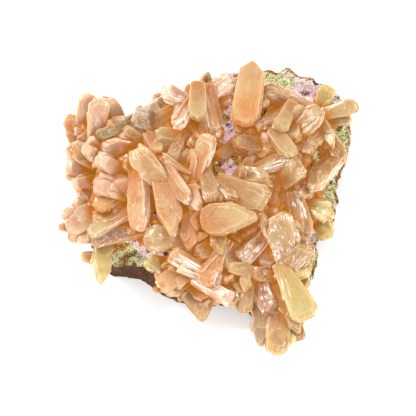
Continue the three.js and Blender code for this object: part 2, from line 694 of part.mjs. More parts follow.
function add(group, name, geometry, material) {
  const finish = new THREE.MeshStandardMaterial({ ...MATERIALS[material], flatShading: true });
  const mesh = new THREE.Mesh(geometry, finish);
  mesh.name = name;
  group.add(mesh);
}

const specimen = new THREE.Group();
specimen.name = "stilbite_with_mordenite";
add(specimen, "basalt_matrix", basaltPlate(), "basalt");
add(specimen, "mordenite_crust", sheet(crustUnderside, crustTop), "mordenite");

const earlier = [];
for (const [name, rows] of Object.entries(GROUPS)) {
  const whole = groupSolid(rows).subtract(underCrystals);
  const cut = earlier.length ? whole.subtract(wasm.Manifold.union(earlier)) : whole;
  const kept = largestPiece(cut.asOriginal().simplify(SMALLEST_FEATURE));
  add(specimen, `stilbite_${name}`, geometryOf(kept), "stilbite");
  earlier.push(groupSolid(rows, NEIGHBOUR_GROWTH));
}

export default specimen;
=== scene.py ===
# Stilbite with mordenite, in the shared frame (metres, +Z up, the base at zero).
# Peach stilbite crystals, each a stack of thin plates, stand in sheaves on a felted crust of mordenite,
# on a broken piece of basalt. Places are worked out in millimetres and written in metres.
import math

import bpy
import numpy as np
from mathutils import Matrix, Vector


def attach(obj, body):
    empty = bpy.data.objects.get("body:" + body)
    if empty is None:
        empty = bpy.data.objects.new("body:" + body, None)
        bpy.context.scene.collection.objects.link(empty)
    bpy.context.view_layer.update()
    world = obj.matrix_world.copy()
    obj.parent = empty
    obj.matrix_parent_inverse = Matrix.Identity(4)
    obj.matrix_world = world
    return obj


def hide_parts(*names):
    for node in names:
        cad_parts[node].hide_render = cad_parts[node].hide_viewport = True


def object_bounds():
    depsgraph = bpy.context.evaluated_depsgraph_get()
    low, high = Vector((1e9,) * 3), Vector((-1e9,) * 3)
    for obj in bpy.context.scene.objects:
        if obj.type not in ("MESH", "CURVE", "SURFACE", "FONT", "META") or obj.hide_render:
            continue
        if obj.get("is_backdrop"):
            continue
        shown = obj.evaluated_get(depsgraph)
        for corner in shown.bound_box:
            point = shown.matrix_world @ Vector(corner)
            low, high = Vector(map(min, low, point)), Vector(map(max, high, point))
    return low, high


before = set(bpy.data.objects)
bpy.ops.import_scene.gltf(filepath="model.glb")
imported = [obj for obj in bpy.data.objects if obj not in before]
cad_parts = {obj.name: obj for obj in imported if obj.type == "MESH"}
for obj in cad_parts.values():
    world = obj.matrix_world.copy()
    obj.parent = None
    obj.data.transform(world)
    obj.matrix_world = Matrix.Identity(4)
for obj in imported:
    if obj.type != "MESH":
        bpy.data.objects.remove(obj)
cad_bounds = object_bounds()

MM = 0.001
SEED = 20

# The picture is 416 pixels square, and is taken from the front, nearly from above.
# Places are read off it as a column, a row and a height above the base in millimetres.
SPECIMEN_WIDTH = 111
SPECIMEN_PIXELS = 301
MM_PER_PIXEL = SPECIMEN_WIDTH / SPECIMEN_PIXELS
PICTURE_PIXELS = 416
CENTRE_COLUMN = 208.7
CENTRE_ROW = 221.8  # the row in which the origin itself would show
LEAN = math.radians(10)  # of the line of sight off the vertical


def seen_at(column, row, height):
    """The place in millimetres that shows at that column and row, at that height."""
    up = (CENTRE_ROW - row) * MM_PER_PIXEL
    return np.array([
        (column - CENTRE_COLUMN) * MM_PER_PIXEL,
        (up - height * math.sin(LEAN)) / math.cos(LEAN),
        height,
    ])


def shown_at(x, y, z):
    """The column and row at which that place shows."""
    up = y * math.cos(LEAN) + z * math.sin(LEAN)
    return x / MM_PER_PIXEL + CENTRE_COLUMN, CENTRE_ROW - up / MM_PER_PIXEL


ROOM = 1.93  # how much brighter the light is than what would show white as white


def linear(rgb):
    """The surface colour, as the renderer's linear one, that shows as these three numbers up to 255."""
    part = np.array(rgb) / 255
    return np.where(part <= 0.04045, part / 12.92, ((part + 0.055) / 1.055) ** 2.4) / ROOM


def paint(rgb):
    return (*linear(rgb), 1.0)


# Crystal tones: the colour near the root, and the colour near the tip
TONES = {
    "blush": ((240, 163, 116), (252, 213, 177)),
    "honey": ((190, 126, 75), (240, 198, 119)),
    "peach": ((222, 136, 63), (240, 192, 135)),
    "cream": ((224, 152, 81), (238, 204, 144)),
    "orange": ((210, 116, 33), (236, 158, 84)),
    "pink": ((243, 164, 120), (255, 214, 184)),
    "tan": ((188, 120, 53), (211, 165, 103)),
    "khaki": ((140, 106, 49), (172, 148, 95)),
    "mauve": ((172, 98, 58), (200, 142, 106)),
    "yellow": ((226, 190, 104), (231, 216, 140)),
    "deep": ((190, 102, 16), (206, 128, 42)),
    "grey": ((184, 142, 106), (202, 176, 144)),
    "amber": ((182, 100, 20), (204, 142, 62)),
    "ripe": ((224, 184, 122), (238, 154, 63)),
    "sand": ((206, 144, 73), (221, 185, 122)),
    "gold": ((204, 136, 40), (226, 170, 84)),
    "dusk": ((200, 144, 85), (178, 150, 108)),
}

# The beds of each group, the low mass of short crystals that its others stand in: the height of a bed's
# top, and its outline there as it shows in the picture
BEDS = {
    "centre_sheaf": [
        (27, [
            (142, 150), (178, 135), (200, 140), (206, 168), (213, 190), (196, 212), (194, 244),
            (172, 244), (168, 222), (160, 196), (150, 186), (142, 206), (130, 204), (132, 172),
        ]),
        (28, [
            (206, 208), (222, 190), (262, 184), (276, 196), (268, 222), (240, 234), (206, 234),
        ]),
    ],
    "crossed_bars": [
        (25, [
            (238, 142), (262, 133), (276, 143), (286, 164), (296, 168), (288, 182), (262, 182),
            (258, 170), (270, 156), (268, 152), (240, 150),
        ]),
    ],
    "northeast_sheaf": [
        (25, [
            (262, 90), (300, 98), (320, 110), (318, 132), (304, 146), (284, 144), (268, 128), (274, 110),
            (262, 102),
        ]),
        (30, [
            (241, 80), (258, 76), (266, 92), (264, 102), (254, 116), (241, 114),
        ]),
        (24, [
            (296, 126), (318, 108), (332, 104), (338, 118), (332, 128), (336, 142), (328, 146),
            (306, 144),
        ]),
    ],
    "east_blades": [
        (21, [
            (338, 162), (322, 166), (306, 184), (304, 200), (316, 226), (328, 220), (326, 204),
            (316, 190),
        ]),
    ],
    "southeast_fan": [
        (26, [
            (276, 248), (300, 230), (308, 268), (300, 296), (292, 312), (266, 308), (258, 290),
            (274, 280),
        ]),
    ],
    "south_sheaf": [
        (25, [
            (158, 262), (186, 252), (206, 240), (230, 238), (238, 262), (232, 284), (206, 296),
            (180, 288), (164, 282),
        ]),
        (25, [
            (240, 240), (266, 236), (274, 252), (276, 272), (262, 282), (250, 296), (238, 292),
            (234, 272), (240, 258),
        ]),
    ],
    "north_sheaf": [
        (26, [
            (192, 88), (206, 80), (226, 84), (222, 102), (218, 124), (204, 134), (192, 128),
        ]),
        (24, [
            (140, 118), (160, 100), (188, 94), (194, 112), (190, 134), (164, 134), (142, 136),
        ]),
    ],
    "west_sheaf": [
        (25, [
            (90, 150), (128, 142), (130, 160), (130, 196), (112, 204), (88, 196), (84, 176),
        ]),
        (22, [
            (84, 128), (100, 120), (124, 122), (126, 136), (104, 146), (84, 158), (76, 150), (78, 134),
        ]),
    ],
    "southwest_blades": [
        (22, [
            (92, 206), (128, 202), (142, 226), (140, 236), (114, 240), (96, 240), (86, 226),
        ]),
    ],
}

# The crystals of each group. A row gives the column, row and height of a crystal's root and of its tip, its
# width and thickness, the form of its end, and its tone. What comes after that may be left out: how much
# painted pearly highlight stripe its narrow sides have, how much painted glitter highlight its broad face
# has, its roll in degrees, its width at the tip against the one at the root, and the form of its other end
# where that shows.
BLADES = {
    "centre_sheaf": [
        ((172, 190, 28), (136, 151, 41), 8, 6, "blunt", "cream", 0.8, 0.2, -30),
        ((139, 158, 30), (138, 232, 31), 7.4, 5.6, "round", "peach", 0.7, 0.3, 30, 1.05),
        ((148, 176, 25), (149, 224, 27), 2.8, 3, "gable", "orange"),
        ((157, 165, 31), (176, 236, 35), 9.4, 5, "gable", "peach", 0.2, 0.2, -8),
        ((166, 164, 33), (189, 206, 34), 6, 4, "gable", "peach", 1, 0.3, 20),
        ((184, 240, 28), (143, 238, 32), 9.6, 6, "round", "sand", 0.2, 0.9, 0, 1.1),
        ((190, 200, 28), (189, 253, 31), 6.2, 4, "gable", "orange", 0.1, 0.2, 0, 1.1),
        ((197, 173, 30), (209, 134, 37), 7, 5, "blunt", "peach", 0.9, 0.1, -22, 1.1),
        ((184, 146, 27), (150, 141, 31), 5.4, 4, "gable", "tan", 0.5, 0.1, -20),
        ((181, 142, 29), (171, 161, 33), 5.2, 4, "round", "tan", 0.2, 0.2, 20),
        ((184, 170, 31), (162, 153, 34), 1.9, 3, "gable", "peach", 0.4),
        ((184, 171, 32), (163, 161, 34.5), 1.7, 3, "gable", "peach", 0.4),
        ((190, 188, 32), (203, 187, 33), 3, 2.4, "gable", "cream"),
        ((193, 180, 29), (197, 211, 35), 5.2, 4, "gable", "pink", 0.3, 0.2, 30),
        ((204, 172, 30), (212, 200, 36), 6, 5, "blunt", "tan", 0.3, 0.5, -10),
        ((212, 183, 31), (237, 199, 35), 3.6, 4, "gable", "tan", 0.9, 0.2, -30),
        ((164, 228, 23), (157, 213, 25), 4, 3, "gable", "cream"),
        ((201, 220, 33), (258, 217, 37), 13.2, 5, "gable", "cream", 0.2, 0.2, 0, 1.25, "round"),
        ((222, 186, 30), (268, 204, 33), 11.5, 5, "blunt", "sand", 0.3, 0.2),
        ((243, 184, 28), (242, 166, 34), 3, 2.6, "gable", "tan", 0.6),
        ((274, 178, 25), (270, 208, 28), 6, 4, "slant", "amber"),
        ((278, 190, 23), (281, 216, 25), 6, 4, "gable", "deep"),
        ((272, 206, 26), (256, 227, 29), 5.4, 4, "blunt", "tan"),
        ((232, 230, 25), (240, 243, 27), 4, 3, "blunt", "tan"),
    ],
    "crossed_bars": [
        ((244, 176, 25.5), (288, 157, 33), 4.8, 4.2, "blunt", "tan", 1, 0.5, -40),
        ((283, 181, 26), (300, 162, 36), 9.5, 5, "blunt", "sand", 0.1, 0.9),
        ((260, 184, 25), (278, 176, 27), 2.8, 2.6, "gable", "pink", 1, 1.6),
        ((274, 148, 25), (231, 141, 29), 6.4, 5, "round", "amber", 0.2, 0.2, 15, 1.05),
        ((238, 141, 22), (217, 161, 25), 5.4, 4, "round", "tan", 0.1),
        ((278, 149, 22), (232, 151, 24), 2.8, 3, "gable", "deep"),
        ((262, 134, 26), (257, 122, 32), 3, 3, "round", "pink"),
        ((272, 142, 28), (263, 134, 33), 3.6, 3.4, "round", "pink"),
        ((266, 138, 24), (246, 129, 28), 3.8, 3.6, "round", "tan"),
    ],
    "northeast_sheaf": [
        ((254, 62, 33), (243, 127, 31), 10, 6, "round", "ripe", 0.1, 0.1, 8, 1.1, "gable"),
        ((258, 94, 27), (267, 105, 31), 3.6, 3, "blunt", "sand", 0.5, 0.8),
        ((316, 112, 25), (262, 88, 29), 6.4, 5, "round", "tan", 0.3, 0.1, -35),
        ((290, 108, 26), (262, 127, 32), 5.6, 5, "slant", "tan", 0.5, 0.2, 40),
        ((290, 108, 30), (279, 131, 35), 6.4, 4, "blunt", "sand", 0.2, 0.1),
        ((272, 130, 31), (294, 158, 36), 6.4, 5, "round", "sand", 0.2, 0.1, -15, 1.25, "blunt"),
        ((292, 142, 27), (315, 153, 30), 5, 4, "round", "amber", 0.1),
        ((292, 138, 25.5), (320, 109, 34), 8, 5, "blunt", "sand", 0.4, 0.4, 20),
        ((322, 115, 24), (359, 104, 28), 6.4, 4.5, "round", "sand", 0.1, 0.1),
        ((326, 123, 21), (353, 118, 24), 4.4, 3.6, "round", "sand"),
        ((321, 111, 22), (330, 85, 27), 6.4, 4, "blunt", "yellow", 0.2, 0.1),
        ((322, 120, 25), (334, 148, 28), 5, 4, "gable", "sand", 0.5, 0.3, 20),
        ((330, 138, 22), (346, 163, 24), 6, 3.6, "gable", "gold", 0.2, 0.1),
        ((322, 134, 25), (306, 148, 29), 5.5, 4, "round", "tan", 0.1, 0.4),
    ],
    "east_blades": [
        ((338, 157, 23), (305, 190, 29), 8.6, 4.5, "slant", "gold", 1, 0.6, 25),
        ((316, 184, 24), (298, 198, 29), 5.2, 4, "round", "sand", 0.5, 0.2),
        ((308, 205, 22), (334, 216, 26), 8, 4, "gable", "yellow", 0, 0.1),
        ((318, 218, 19), (328, 239, 22), 7.2, 4, "blunt", "yellow"),
    ],
    "southeast_fan": [
        ((290, 182, 24), (304, 240, 27.5), 7.2, 5, "round", "tan", 0.8, 0.2, 25),
        ((304, 218, 27), (306, 239, 31), 5.8, 3.6, "round", "tan", 0.2, 0.2),
        ((287, 268, 28), (280, 211, 39), 11.4, 5, "round", "sand", 0.5, 1.6, -15, 1.7),
        ((286, 272, 28), (306, 244, 35), 8.8, 5, "round", "tan", 0.4, 0.2, 10, 1.6),
        ((300, 258, 24), (303, 290, 27), 4.4, 4, "gable", "tan", 0.7, 0.1),
        ((282, 270, 29), (308, 318, 34), 10, 6, "blunt", "yellow", 0, 0.1, 0, 1.45),
        ((262, 284, 26), (272, 316, 29), 7.6, 5, "gable", "mauve", 0.4, 0.3, 20),
        ((262, 300, 24), (257, 348, 26), 6.6, 4, "slant", "dusk", 0.3, 0.2, 10, 1.6),
        ((278, 304, 26), (276, 355, 29), 9.8, 5, "round", "honey", 0.4, 0.5, -10, 1.4),
        ((276, 292, 26), (299, 332, 30), 4.8, 4, "gable", "tan", 0.3, 0.1),
        ((290, 308, 23), (300, 340, 25), 5.5, 3.4, "blunt", "tan"),
    ],
    "south_sheaf": [
        ((194, 280, 20), (203, 321, 24), 13.5, 4.5, "gable", "sand", 0, 0.1, 5),
        ((200, 282, 28), (232, 300, 32), 5, 5.6, "blunt", "pink", 1, 1.4, 75),
        ((222, 288, 26), (239, 303, 28), 5, 5, "blunt", "sand"),
        ((206, 274, 29), (170, 253, 34), 5, 6.4, "blunt", "peach", 1, 0.4, 60),
        ((190, 272, 25), (157, 286, 30), 8.6, 5.5, "round", "peach", 0.1, 0.1),
        ((186, 280, 23), (168, 294, 26), 6, 4, "round", "sand"),
        ((172, 264, 21), (143, 262, 25), 5.4, 4, "gable", "yellow", 0, 0.1),
        ((172, 262, 25), (162, 266, 27), 2.4, 2, "gable", "cream", 0.5, 0.8),
        ((226, 248, 29), (203, 285, 33), 7, 4.6, "blunt", "orange", 0.8, 0.1, 25),
        ((214, 244, 27), (196, 258, 31), 6.4, 4, "blunt", "amber", 0.1, 0.1),
        ((216, 232, 28), (222, 254, 34), 6, 3.6, "gable", "sand", 0.3, 0.1),
        ((204, 272, 27), (190, 278, 29), 3, 3, "blunt", "pink", 0.8, 0.4),
        ((264, 236, 27), (239, 262, 31), 7, 7, "blunt", "mauve", 0.6, 0.4, 65),
        ((272, 243, 26), (264, 268, 29), 6, 4, "blunt", "mauve", 0.2, 0.2),
        ((254, 272, 29), (226, 266, 32), 5.4, 3.6, "round", "sand", 0, 0.1),
        ((246, 268, 29), (244, 292, 31), 4.8, 3.6, "gable", "sand", 0.1),
        ((276, 278, 26), (250, 271, 30), 6, 4, "round", "amber", 0, 0.2),
        ((248, 280, 26), (243, 314, 28), 6.8, 4.4, "round", "sand", 0, 0.1),
        ((240, 280, 26), (237, 294, 29), 2.6, 2.4, "gable", "pink", 0.2, 0.1),
        ((240, 279, 25), (225, 275, 28), 2.6, 2.4, "gable", "pink", 0.1),
    ],
    "north_sheaf": [
        ((198, 82, 33), (197, 121, 34), 6.6, 5, "round", "sand", 0.2, 0.1, 0, 1.25, "blunt"),
        ((205, 84, 31), (213, 136, 30), 7.6, 4.5, "round", "orange", 0.9, 0.2, -30, 1.25, "blunt"),
        ((205, 90, 26), (210, 72, 30), 4.4, 3, "slant", "khaki", 0.1),
        ((208, 95, 27), (235, 78, 30), 8.4, 5, "blunt", "pink", 0.9, 0.2, -12),
        ((212, 104, 25), (235, 97, 28), 4.4, 4, "slant", "orange", 0.2, 0.1),
        ((190, 118, 26), (198, 140, 31), 2.2, 2.4, "gable", "pink", 0.5, 0.1),
        ((200, 116, 28), (205, 137, 30), 3, 2.4, "gable", "pink", 0.3),
        ((148, 143, 27), (123, 128, 32), 3.6, 3.5, "round", "tan", 0.2, 0.4, -15),
        ((152, 126, 25), (136, 112, 33), 9, 6, "blunt", "grey", 0.8, 0.9, 15),
        ((190, 104, 26), (162, 90, 32), 6.4, 5, "blunt", "pink", 1, 1.4, 32),
        ((170, 98, 22), (153, 109, 27), 6.4, 4, "blunt", "grey", 0.6, 0.6, -15),
        ((186, 106, 25), (134, 133, 27.5), 7.5, 4, "blunt", "tan", 0.2, 0.2, -10),
        ((192, 102, 29), (176, 128, 34), 4.8, 4.5, "blunt", "pink", 0.9, 1.2, 30),
        ((192, 116, 23), (164, 135, 25), 6.4, 3, "gable", "orange"),
    ],
    "west_sheaf": [
        ((128, 125, 27), (97, 137, 31), 4.4, 4, "blunt", "khaki", 0.1),
        ((131, 148, 27), (103, 145, 33), 7.4, 4, "gable", "pink", 0.6, 0.4, -25),
        ((94, 164, 25), (72, 150, 31), 6.2, 5, "round", "tan", 0.1, 0.3),
        ((102, 163, 26), (84, 147, 34), 5, 5, "round", "pink", 0.1, 0.5),
        ((116, 172, 27), (99, 157, 37), 7.5, 6, "round", "pink", 0.1, 0.3),
        ((94, 170, 21), (66, 167, 27), 6, 4, "round", "blush", 0.1, 0.2),
        ((90, 176, 21), (65, 177, 24), 3.6, 3, "round", "blush"),
        ((92, 180, 24), (74, 185, 30), 4.6, 3, "blunt", "pink", 0.2, 0.4, -10),
        ((94, 190, 20), (78, 197, 25), 5, 4, "round", "pink", 0.1, 0.2),
        ((118, 194, 27), (96, 185, 35), 6.6, 5, "round", "pink", 0.1, 0.2),
        ((114, 190, 25), (97, 209, 32), 7.2, 4.5, "round", "ripe", 0.1, 0.1),
        ((124, 198, 25), (108, 207, 29), 2.6, 2.4, "gable", "pink", 0.3, 0.1),
        ((128, 196, 23), (112, 215, 27), 4, 3, "gable", "pink", 0.4, 0.2),
        ((129, 152, 24), (118, 192, 27), 6, 4, "blunt", "amber"),
        ((80, 135, 18), (88, 92, 26), 6.2, 3.6, "round", "blush", 0.4, 0.3, 10),
        ((93, 150, 22), (99, 98, 33), 7.2, 5, "blunt", "blush", 0.5, 0.8, 18),
        ((122, 132, 20), (108, 97, 28), 6.6, 4, "round", "blush", 0.2, 0.1, 15, 1),
        ((80, 150, 18), (71, 114, 21), 7.5, 3, "blunt", "orange", 0.2, 0, -10),
        ((88, 152, 18), (66, 154, 22), 8, 3, "blunt", "blush", 0.1, 0.1),
        ((87, 134, 21.5), (74, 128, 24), 1.8, 1.6, "blunt", "pink", 0.6, 0.3),
        ((76, 124, 18), (66, 114, 20), 3.4, 2.6, "round", "sand"),
    ],
    "southwest_blades": [
        ((102, 206, 21), (66, 232, 25), 9.5, 5, "round", "blush", 0.1, 0.4),
        ((80, 222, 22), (63, 209, 25), 5.2, 4, "round", "blush", 0, 0.2),
        ((76, 228, 21), (58, 226, 23), 4, 3.5, "round", "tan"),
        ((88, 226, 22), (81, 245, 24), 6, 4, "round", "blush", 0, 0.2),
        ((80, 228, 21), (70, 241, 22.5), 5, 4, "round", "peach"),
        ((130, 212, 26), (88, 233, 28), 5, 4, "blunt", "cream", 0.8, 0.3, 20),
        ((143, 229, 23), (90, 241, 26), 6, 4, "blunt", "mauve", 0.3, 0.8, 10),
        ((104, 236, 20), (101, 284, 25), 8, 4.5, "gable", "yellow", 0.6, 0.1, -10, 1.05),
        ((100, 262, 18.5), (82, 251, 20.5), 6, 3, "slant", "sand", 0, 0.1),
    ],
}

# Short crystals that stand among them, with the root, the tip, the width and the tone
FILLERS = {
    "centre_sheaf": [
        ((188, 142, 24), (184, 170, 29), 6, "deep"), ((190, 212, 24), (206, 246, 26), 8, "deep"),
        ((230, 226, 23), (232, 246, 26), 8, "amber"), ((262, 206, 22), (266, 236, 25), 7, "deep"),
        ((283, 176, 22), (288, 206, 25), 7, "orange"), ((170, 148, 26), (160, 168, 30), 6, "tan"),
        ((172, 196, 27), (184, 222, 31), 6, "orange"), ((206, 168, 27), (204, 196, 31), 7, "tan"),
        ((176, 160, 28), (186, 186, 31), 7, "peach"), ((140, 168, 25), (132, 200, 28), 7, "orange"),
        ((206, 206, 27), (196, 230, 29), 8, "orange"), ((250, 196, 26), (266, 216, 29), 8, "sand"),
        ((168, 150, 26), (186, 160, 29), 6, "orange"), ((192, 156, 27), (204, 176, 30), 7, "orange"),
        ((212, 188, 29), (200, 200, 32), 6, "mauve"), ((186, 228, 25), (176, 250, 28), 7, "orange"),
        ((160, 236, 23), (150, 250, 26), 6, "sand"),
    ],
    "crossed_bars": [
        ((262, 150, 22), (250, 158, 24), 7, "deep"), ((268, 170, 23), (250, 182, 25), 6, "amber"),
        ((280, 140, 24), (264, 148, 27), 6, "tan"), ((292, 172, 24), (304, 182, 27), 7, "sand"),
        ((254, 134, 23), (266, 128, 26), 5, "tan"),
    ],
    "northeast_sheaf": [
        ((290, 124, 24), (300, 146, 28), 9, "amber"), ((318, 124, 20), (328, 148, 24), 9, "gold"),
        ((284, 132, 24), (268, 142, 27), 7, "tan"), ((276, 96, 24), (268, 114, 26), 6, "pink"),
        ((300, 110, 24), (316, 124, 27), 8, "tan"), ((258, 84, 24), (262, 102, 27), 6, "gold"),
        ((330, 108, 20), (346, 116, 23), 7, "sand"), ((322, 104, 21), (318, 94, 24), 6, "gold"),
        ((302, 150, 21), (312, 160, 23), 7, "deep"), ((272, 120, 26), (284, 140, 29), 6, "tan"),
        ((304, 128, 23), (318, 136, 26), 7, "orange"),
    ],
    "east_blades": [
        ((334, 146, 19), (322, 172, 23), 9, "gold"), ((308, 192, 20), (300, 214, 24), 7, "sand"),
        ((316, 210, 18), (322, 232, 20), 7, "orange"), ((322, 172, 21), (308, 184, 25), 8, "gold"),
    ],
    "southeast_fan": [
        ((282, 238, 24), (278, 262, 27), 8, "amber"), ((296, 268, 22), (300, 286, 25), 7, "deep"),
        ((268, 292, 24), (288, 328, 27), 8, "orange"), ((256, 300, 24), (266, 334, 26), 8, "tan"),
        ((290, 234, 24), (304, 250, 27), 8, "sand"), ((282, 208, 22), (296, 232, 25), 8, "orange"),
        ((262, 282, 24), (256, 304, 27), 7, "deep"), ((280, 330, 25), (292, 346, 27), 7, "yellow"),
        ((276, 262, 25), (282, 282, 28), 8, "orange"), ((286, 318, 24), (296, 336, 26), 7, "orange"),
    ],
    "south_sheaf": [
        ((222, 262, 24), (238, 250, 27), 8, "amber"), ((214, 284, 23), (234, 284, 26), 8, "amber"),
        ((236, 254, 23), (246, 272, 26), 7, "orange"), ((186, 262, 25), (196, 276, 28), 7, "peach"),
        ((262, 278, 23), (252, 292, 26), 6, "deep"), ((206, 262, 24), (192, 248, 27), 8, "amber"),
        ((194, 284, 22), (208, 300, 25), 8, "orange"), ((204, 280, 23), (218, 298, 26), 8, "orange"),
        ((184, 256, 24), (170, 268, 27), 7, "peach"), ((232, 268, 25), (222, 282, 28), 6, "orange"),
        ((256, 250, 24), (268, 262, 27), 8, "mauve"), ((244, 240, 24), (232, 248, 27), 7, "tan"),
        ((180, 284, 21), (176, 296, 23), 6, "sand"), ((240, 288, 23), (232, 300, 26), 6, "sand"),
    ],
    "north_sheaf": [
        ((200, 138, 26), (152, 141, 29), 9, "sand"), ((186, 128, 22), (176, 148, 27), 8, "tan"),
        ((150, 130, 22), (172, 144, 26), 7, "tan"), ((164, 112, 22), (150, 126, 25), 8, "tan"),
        ((204, 92, 25), (216, 118, 28), 8, "orange"), ((190, 92, 25), (182, 108, 28), 7, "peach"),
        ((214, 88, 24), (228, 100, 27), 8, "sand"), ((196, 112, 24), (190, 130, 27), 6, "pink"),
        ((178, 122, 24), (164, 132, 27), 7, "peach"), ((196, 96, 27), (204, 116, 29), 7, "sand"),
    ],
    "west_sheaf": [
        ((112, 150, 24), (104, 178, 29), 9, "peach"), ((86, 164, 20), (90, 190, 24), 9, "peach"),
        ((110, 182, 22), (92, 200, 27), 9, "peach"), ((104, 128, 20), (84, 146, 24), 9, "peach"),
        ((124, 160, 23), (122, 192, 26), 7, "deep"), ((116, 196, 21), (98, 216, 25), 8, "orange"),
        ((84, 122, 17), (74, 138, 20), 8, "orange"), ((106, 104, 22), (102, 130, 27), 7, "peach"),
        ((92, 140, 20), (78, 160, 24), 9, "orange"), ((120, 138, 25), (112, 156, 28), 8, "pink"),
        ((118, 176, 24), (106, 192, 28), 8, "peach"), ((96, 196, 21), (88, 208, 24), 7, "pink"),
        ((112, 112, 21), (120, 130, 25), 7, "sand"), ((102, 152, 26), (92, 166, 31), 7, "pink"),
        ((84, 176, 19), (78, 194, 23), 8, "pink"),
    ],
    "southwest_blades": [
        ((106, 208, 20), (92, 218, 24), 8, "deep"), ((118, 220, 21), (100, 234, 25), 8, "sand"),
        ((86, 222, 20), (72, 234, 23), 9, "tan"), ((136, 218, 22), (124, 234, 25), 7, "peach"),
        ((76, 216, 20), (68, 228, 23), 8, "tan"), ((92, 230, 20), (84, 242, 23), 8, "tan"),
    ],
}

# Ends of a crystal's broad face, from left to right, in half widths: [across, back from the tip]
ENDS = {
    "gable": [(-1, 0.85), (-0.12, 0), (0.16, 0), (1, 1.0)],
    "slant": [(-1, 0.5), (-0.5, 0.05), (-0.1, 0), (1, 1.25)],
    "blunt": [(-1, 0.36), (-0.55, 0), (0.7, 0.06), (1, 0.42)],
    "round": [(-1, 0.8), (-0.7, 0.2), (0, 0), (0.7, 0.16), (1, 0.85)],
}
TAIL = 2.5  # how far a crystal runs on below its visible root
WEDGE = 0.3  # how far the tip's edges lie behind its middle, in half widths
CELL = 0.42  # spacing of a crystal's mesh across it
STATION = 0.9  # and along it
PLATE = 0.95  # thickness of the plates that a crystal is made of
FAN = math.radians(2.6)  # how far its plates turn against one another, at most
TOOTH = 0.1  # depth of the steps in its broken end, in half widths
LUMP = 0.05  # height of the unevenness of its faces
FINE_RIDGE = 0.022  # heights of the ridges along its broad faces
BROAD_RIDGE = 0.05
LAYER = 0.11  # thickness of the layers that break off there
SKIN = 0.99  # past this share of the way out a point lies on a face
EDGE_LIGHT_REACH = 0.9  # how far in the painted paler light of a crystal's edges reaches

ENDING, BROAD, NARROW = 0, 1, 2


def block(counts):
    """The surface of a block of cells: its points as whole numbers, its faces turned outwards, and each
    face's kind. The axes are across, along and through the crystal."""
    shape = [count + 1 for count in counts]
    places = np.indices(shape).reshape(3, -1).T
    outer = ((places == 0) | (places == counts)).any(axis=1)
    number = np.full(len(places), -1)
    number[outer] = np.arange(outer.sum())
    number = number.reshape(shape)
    faces, kinds = [], []
    for axis, kind in ((0, NARROW), (1, ENDING), (2, BROAD)):
        for side in (0, -1):
            sheet = np.take(number, side, axis=axis)
            corners = [sheet[:-1, :-1], sheet[1:, :-1], sheet[1:, 1:], sheet[:-1, 1:]]
            quads = np.stack(corners, -1).reshape(-1, 4)
            if (side == 0) != (axis == 1):
                quads = quads[:, ::-1]
            faces.append(quads)
            kinds.append(np.full(len(quads), kind))
    return places[outer], np.concatenate(faces), np.concatenate(kinds)


def ripple(rng, x, y, x_rate, y_rate, terms=5):
    """A smooth uneven surface about 1 high over x and y, from a few waves about as short as the rates say."""
    total = np.zeros(np.broadcast(x, y).shape)
    for _ in range(terms):
        rate_x = x_rate * rng.uniform(0.5, 1.6)
        rate_y = y_rate * rng.uniform(-1.4, 1.4)
        total += rng.uniform(0.5, 1) * np.cos(x * rate_x + y * rate_y + rng.uniform(0, 6.3))
    return total / math.sqrt(terms)


def lumps(x, y, z, rates, seed):
    """Uneven noise about 1 high at places in millimetres, from waves in many directions."""
    rng = np.random.default_rng(seed)
    total = np.zeros(len(x))
    for rate in rates:
        part = np.zeros(len(x))
        for _ in range(7):
            way = rng.normal(size=3)
            way *= rate / np.linalg.norm(way)
            part += np.cos(x * way[0] + y * way[1] + z * way[2] + rng.uniform(0, 6.3))
        total += part / (2.6 * len(rates) ** 0.5)
    return total


def between(start, end, share):
    """What lies that share of the way from the start to the end."""
    return start + (end - start) * share


def directions(start, end, roll):
    """A crystal's length, and the ways along it, across it and out of its broad face."""
    axis = end - start
    length = np.linalg.norm(axis)
    axis = axis / length
    face = Vector(np.array([0, 0, 1.0]) - axis[2] * axis).normalized()
    face = np.array(Matrix.Rotation(math.radians(roll), 3, Vector(axis)) @ face)
    return length, axis, np.cross(axis, face), face


def broken_end(rng, form, half, plate, u, w):
    """How far back from the tip a crystal's surface ends, by its form, its teeth and its wedge."""
    behind = np.interp(u, *zip(*ENDS[form])) * half * rng.uniform(1.0, 1.9)
    jagged = np.floor(1.7 * ripple(rng, u * half + plate * 7, 0 * u, 1.9, 0, 3))
    teeth = np.clip(jagged, 0, 2) * TOOTH * half
    teeth *= rng.choice([0.0, 0.4, 1.2])
    return behind, teeth, WEDGE * half * np.clip((np.abs(w) - 0.45) / 0.55, 0, 1) ** 1.5


def roughened(rng, u, v, w, across, along, depth):
    """Ridges and broken layers on a crystal's broad faces, and uneven narrow sides and end."""
    ridges = FINE_RIDGE * ripple(rng, across, along, 3.2, 0.15)
    ridges = ridges + BROAD_RIDGE * ripple(rng, across, along, 1.1, 0.25)
    layers = np.floor(1.1 * ripple(rng, across, along, 0.8, 0.22, 3)) * LAYER
    fade = np.sin(np.pi * np.clip(v, 0.03, 1)) ** 0.3
    through = w * (depth + np.where(np.abs(w) > SKIN, ridges + layers, 0) * fade)
    across = across + np.sign(u) * (np.abs(u) > SKIN) * 0.06 * ripple(rng, through, along, 5.0, 0.5)
    along = along + (v > SKIN) * 0.1 * ripple(rng, across, through, 2.6, 2.6)
    return across, along, through


def bent(rng, length, share, across, through):
    """A slight bend and twist: the places across and through the crystal, before and after the twist."""
    through = through + rng.uniform(-0.35, 0.35) * share ** 2 * min(1, length / 15)
    across = across + rng.uniform(-0.035, 0.035) * length * (share ** 2 - 0.4 * share)
    twist = math.radians(rng.uniform(-5, 5)) * share
    sine, cosine = np.sin(twist), np.cos(twist)
    return across, through, across * cosine - through * sine, across * sine + through * cosine


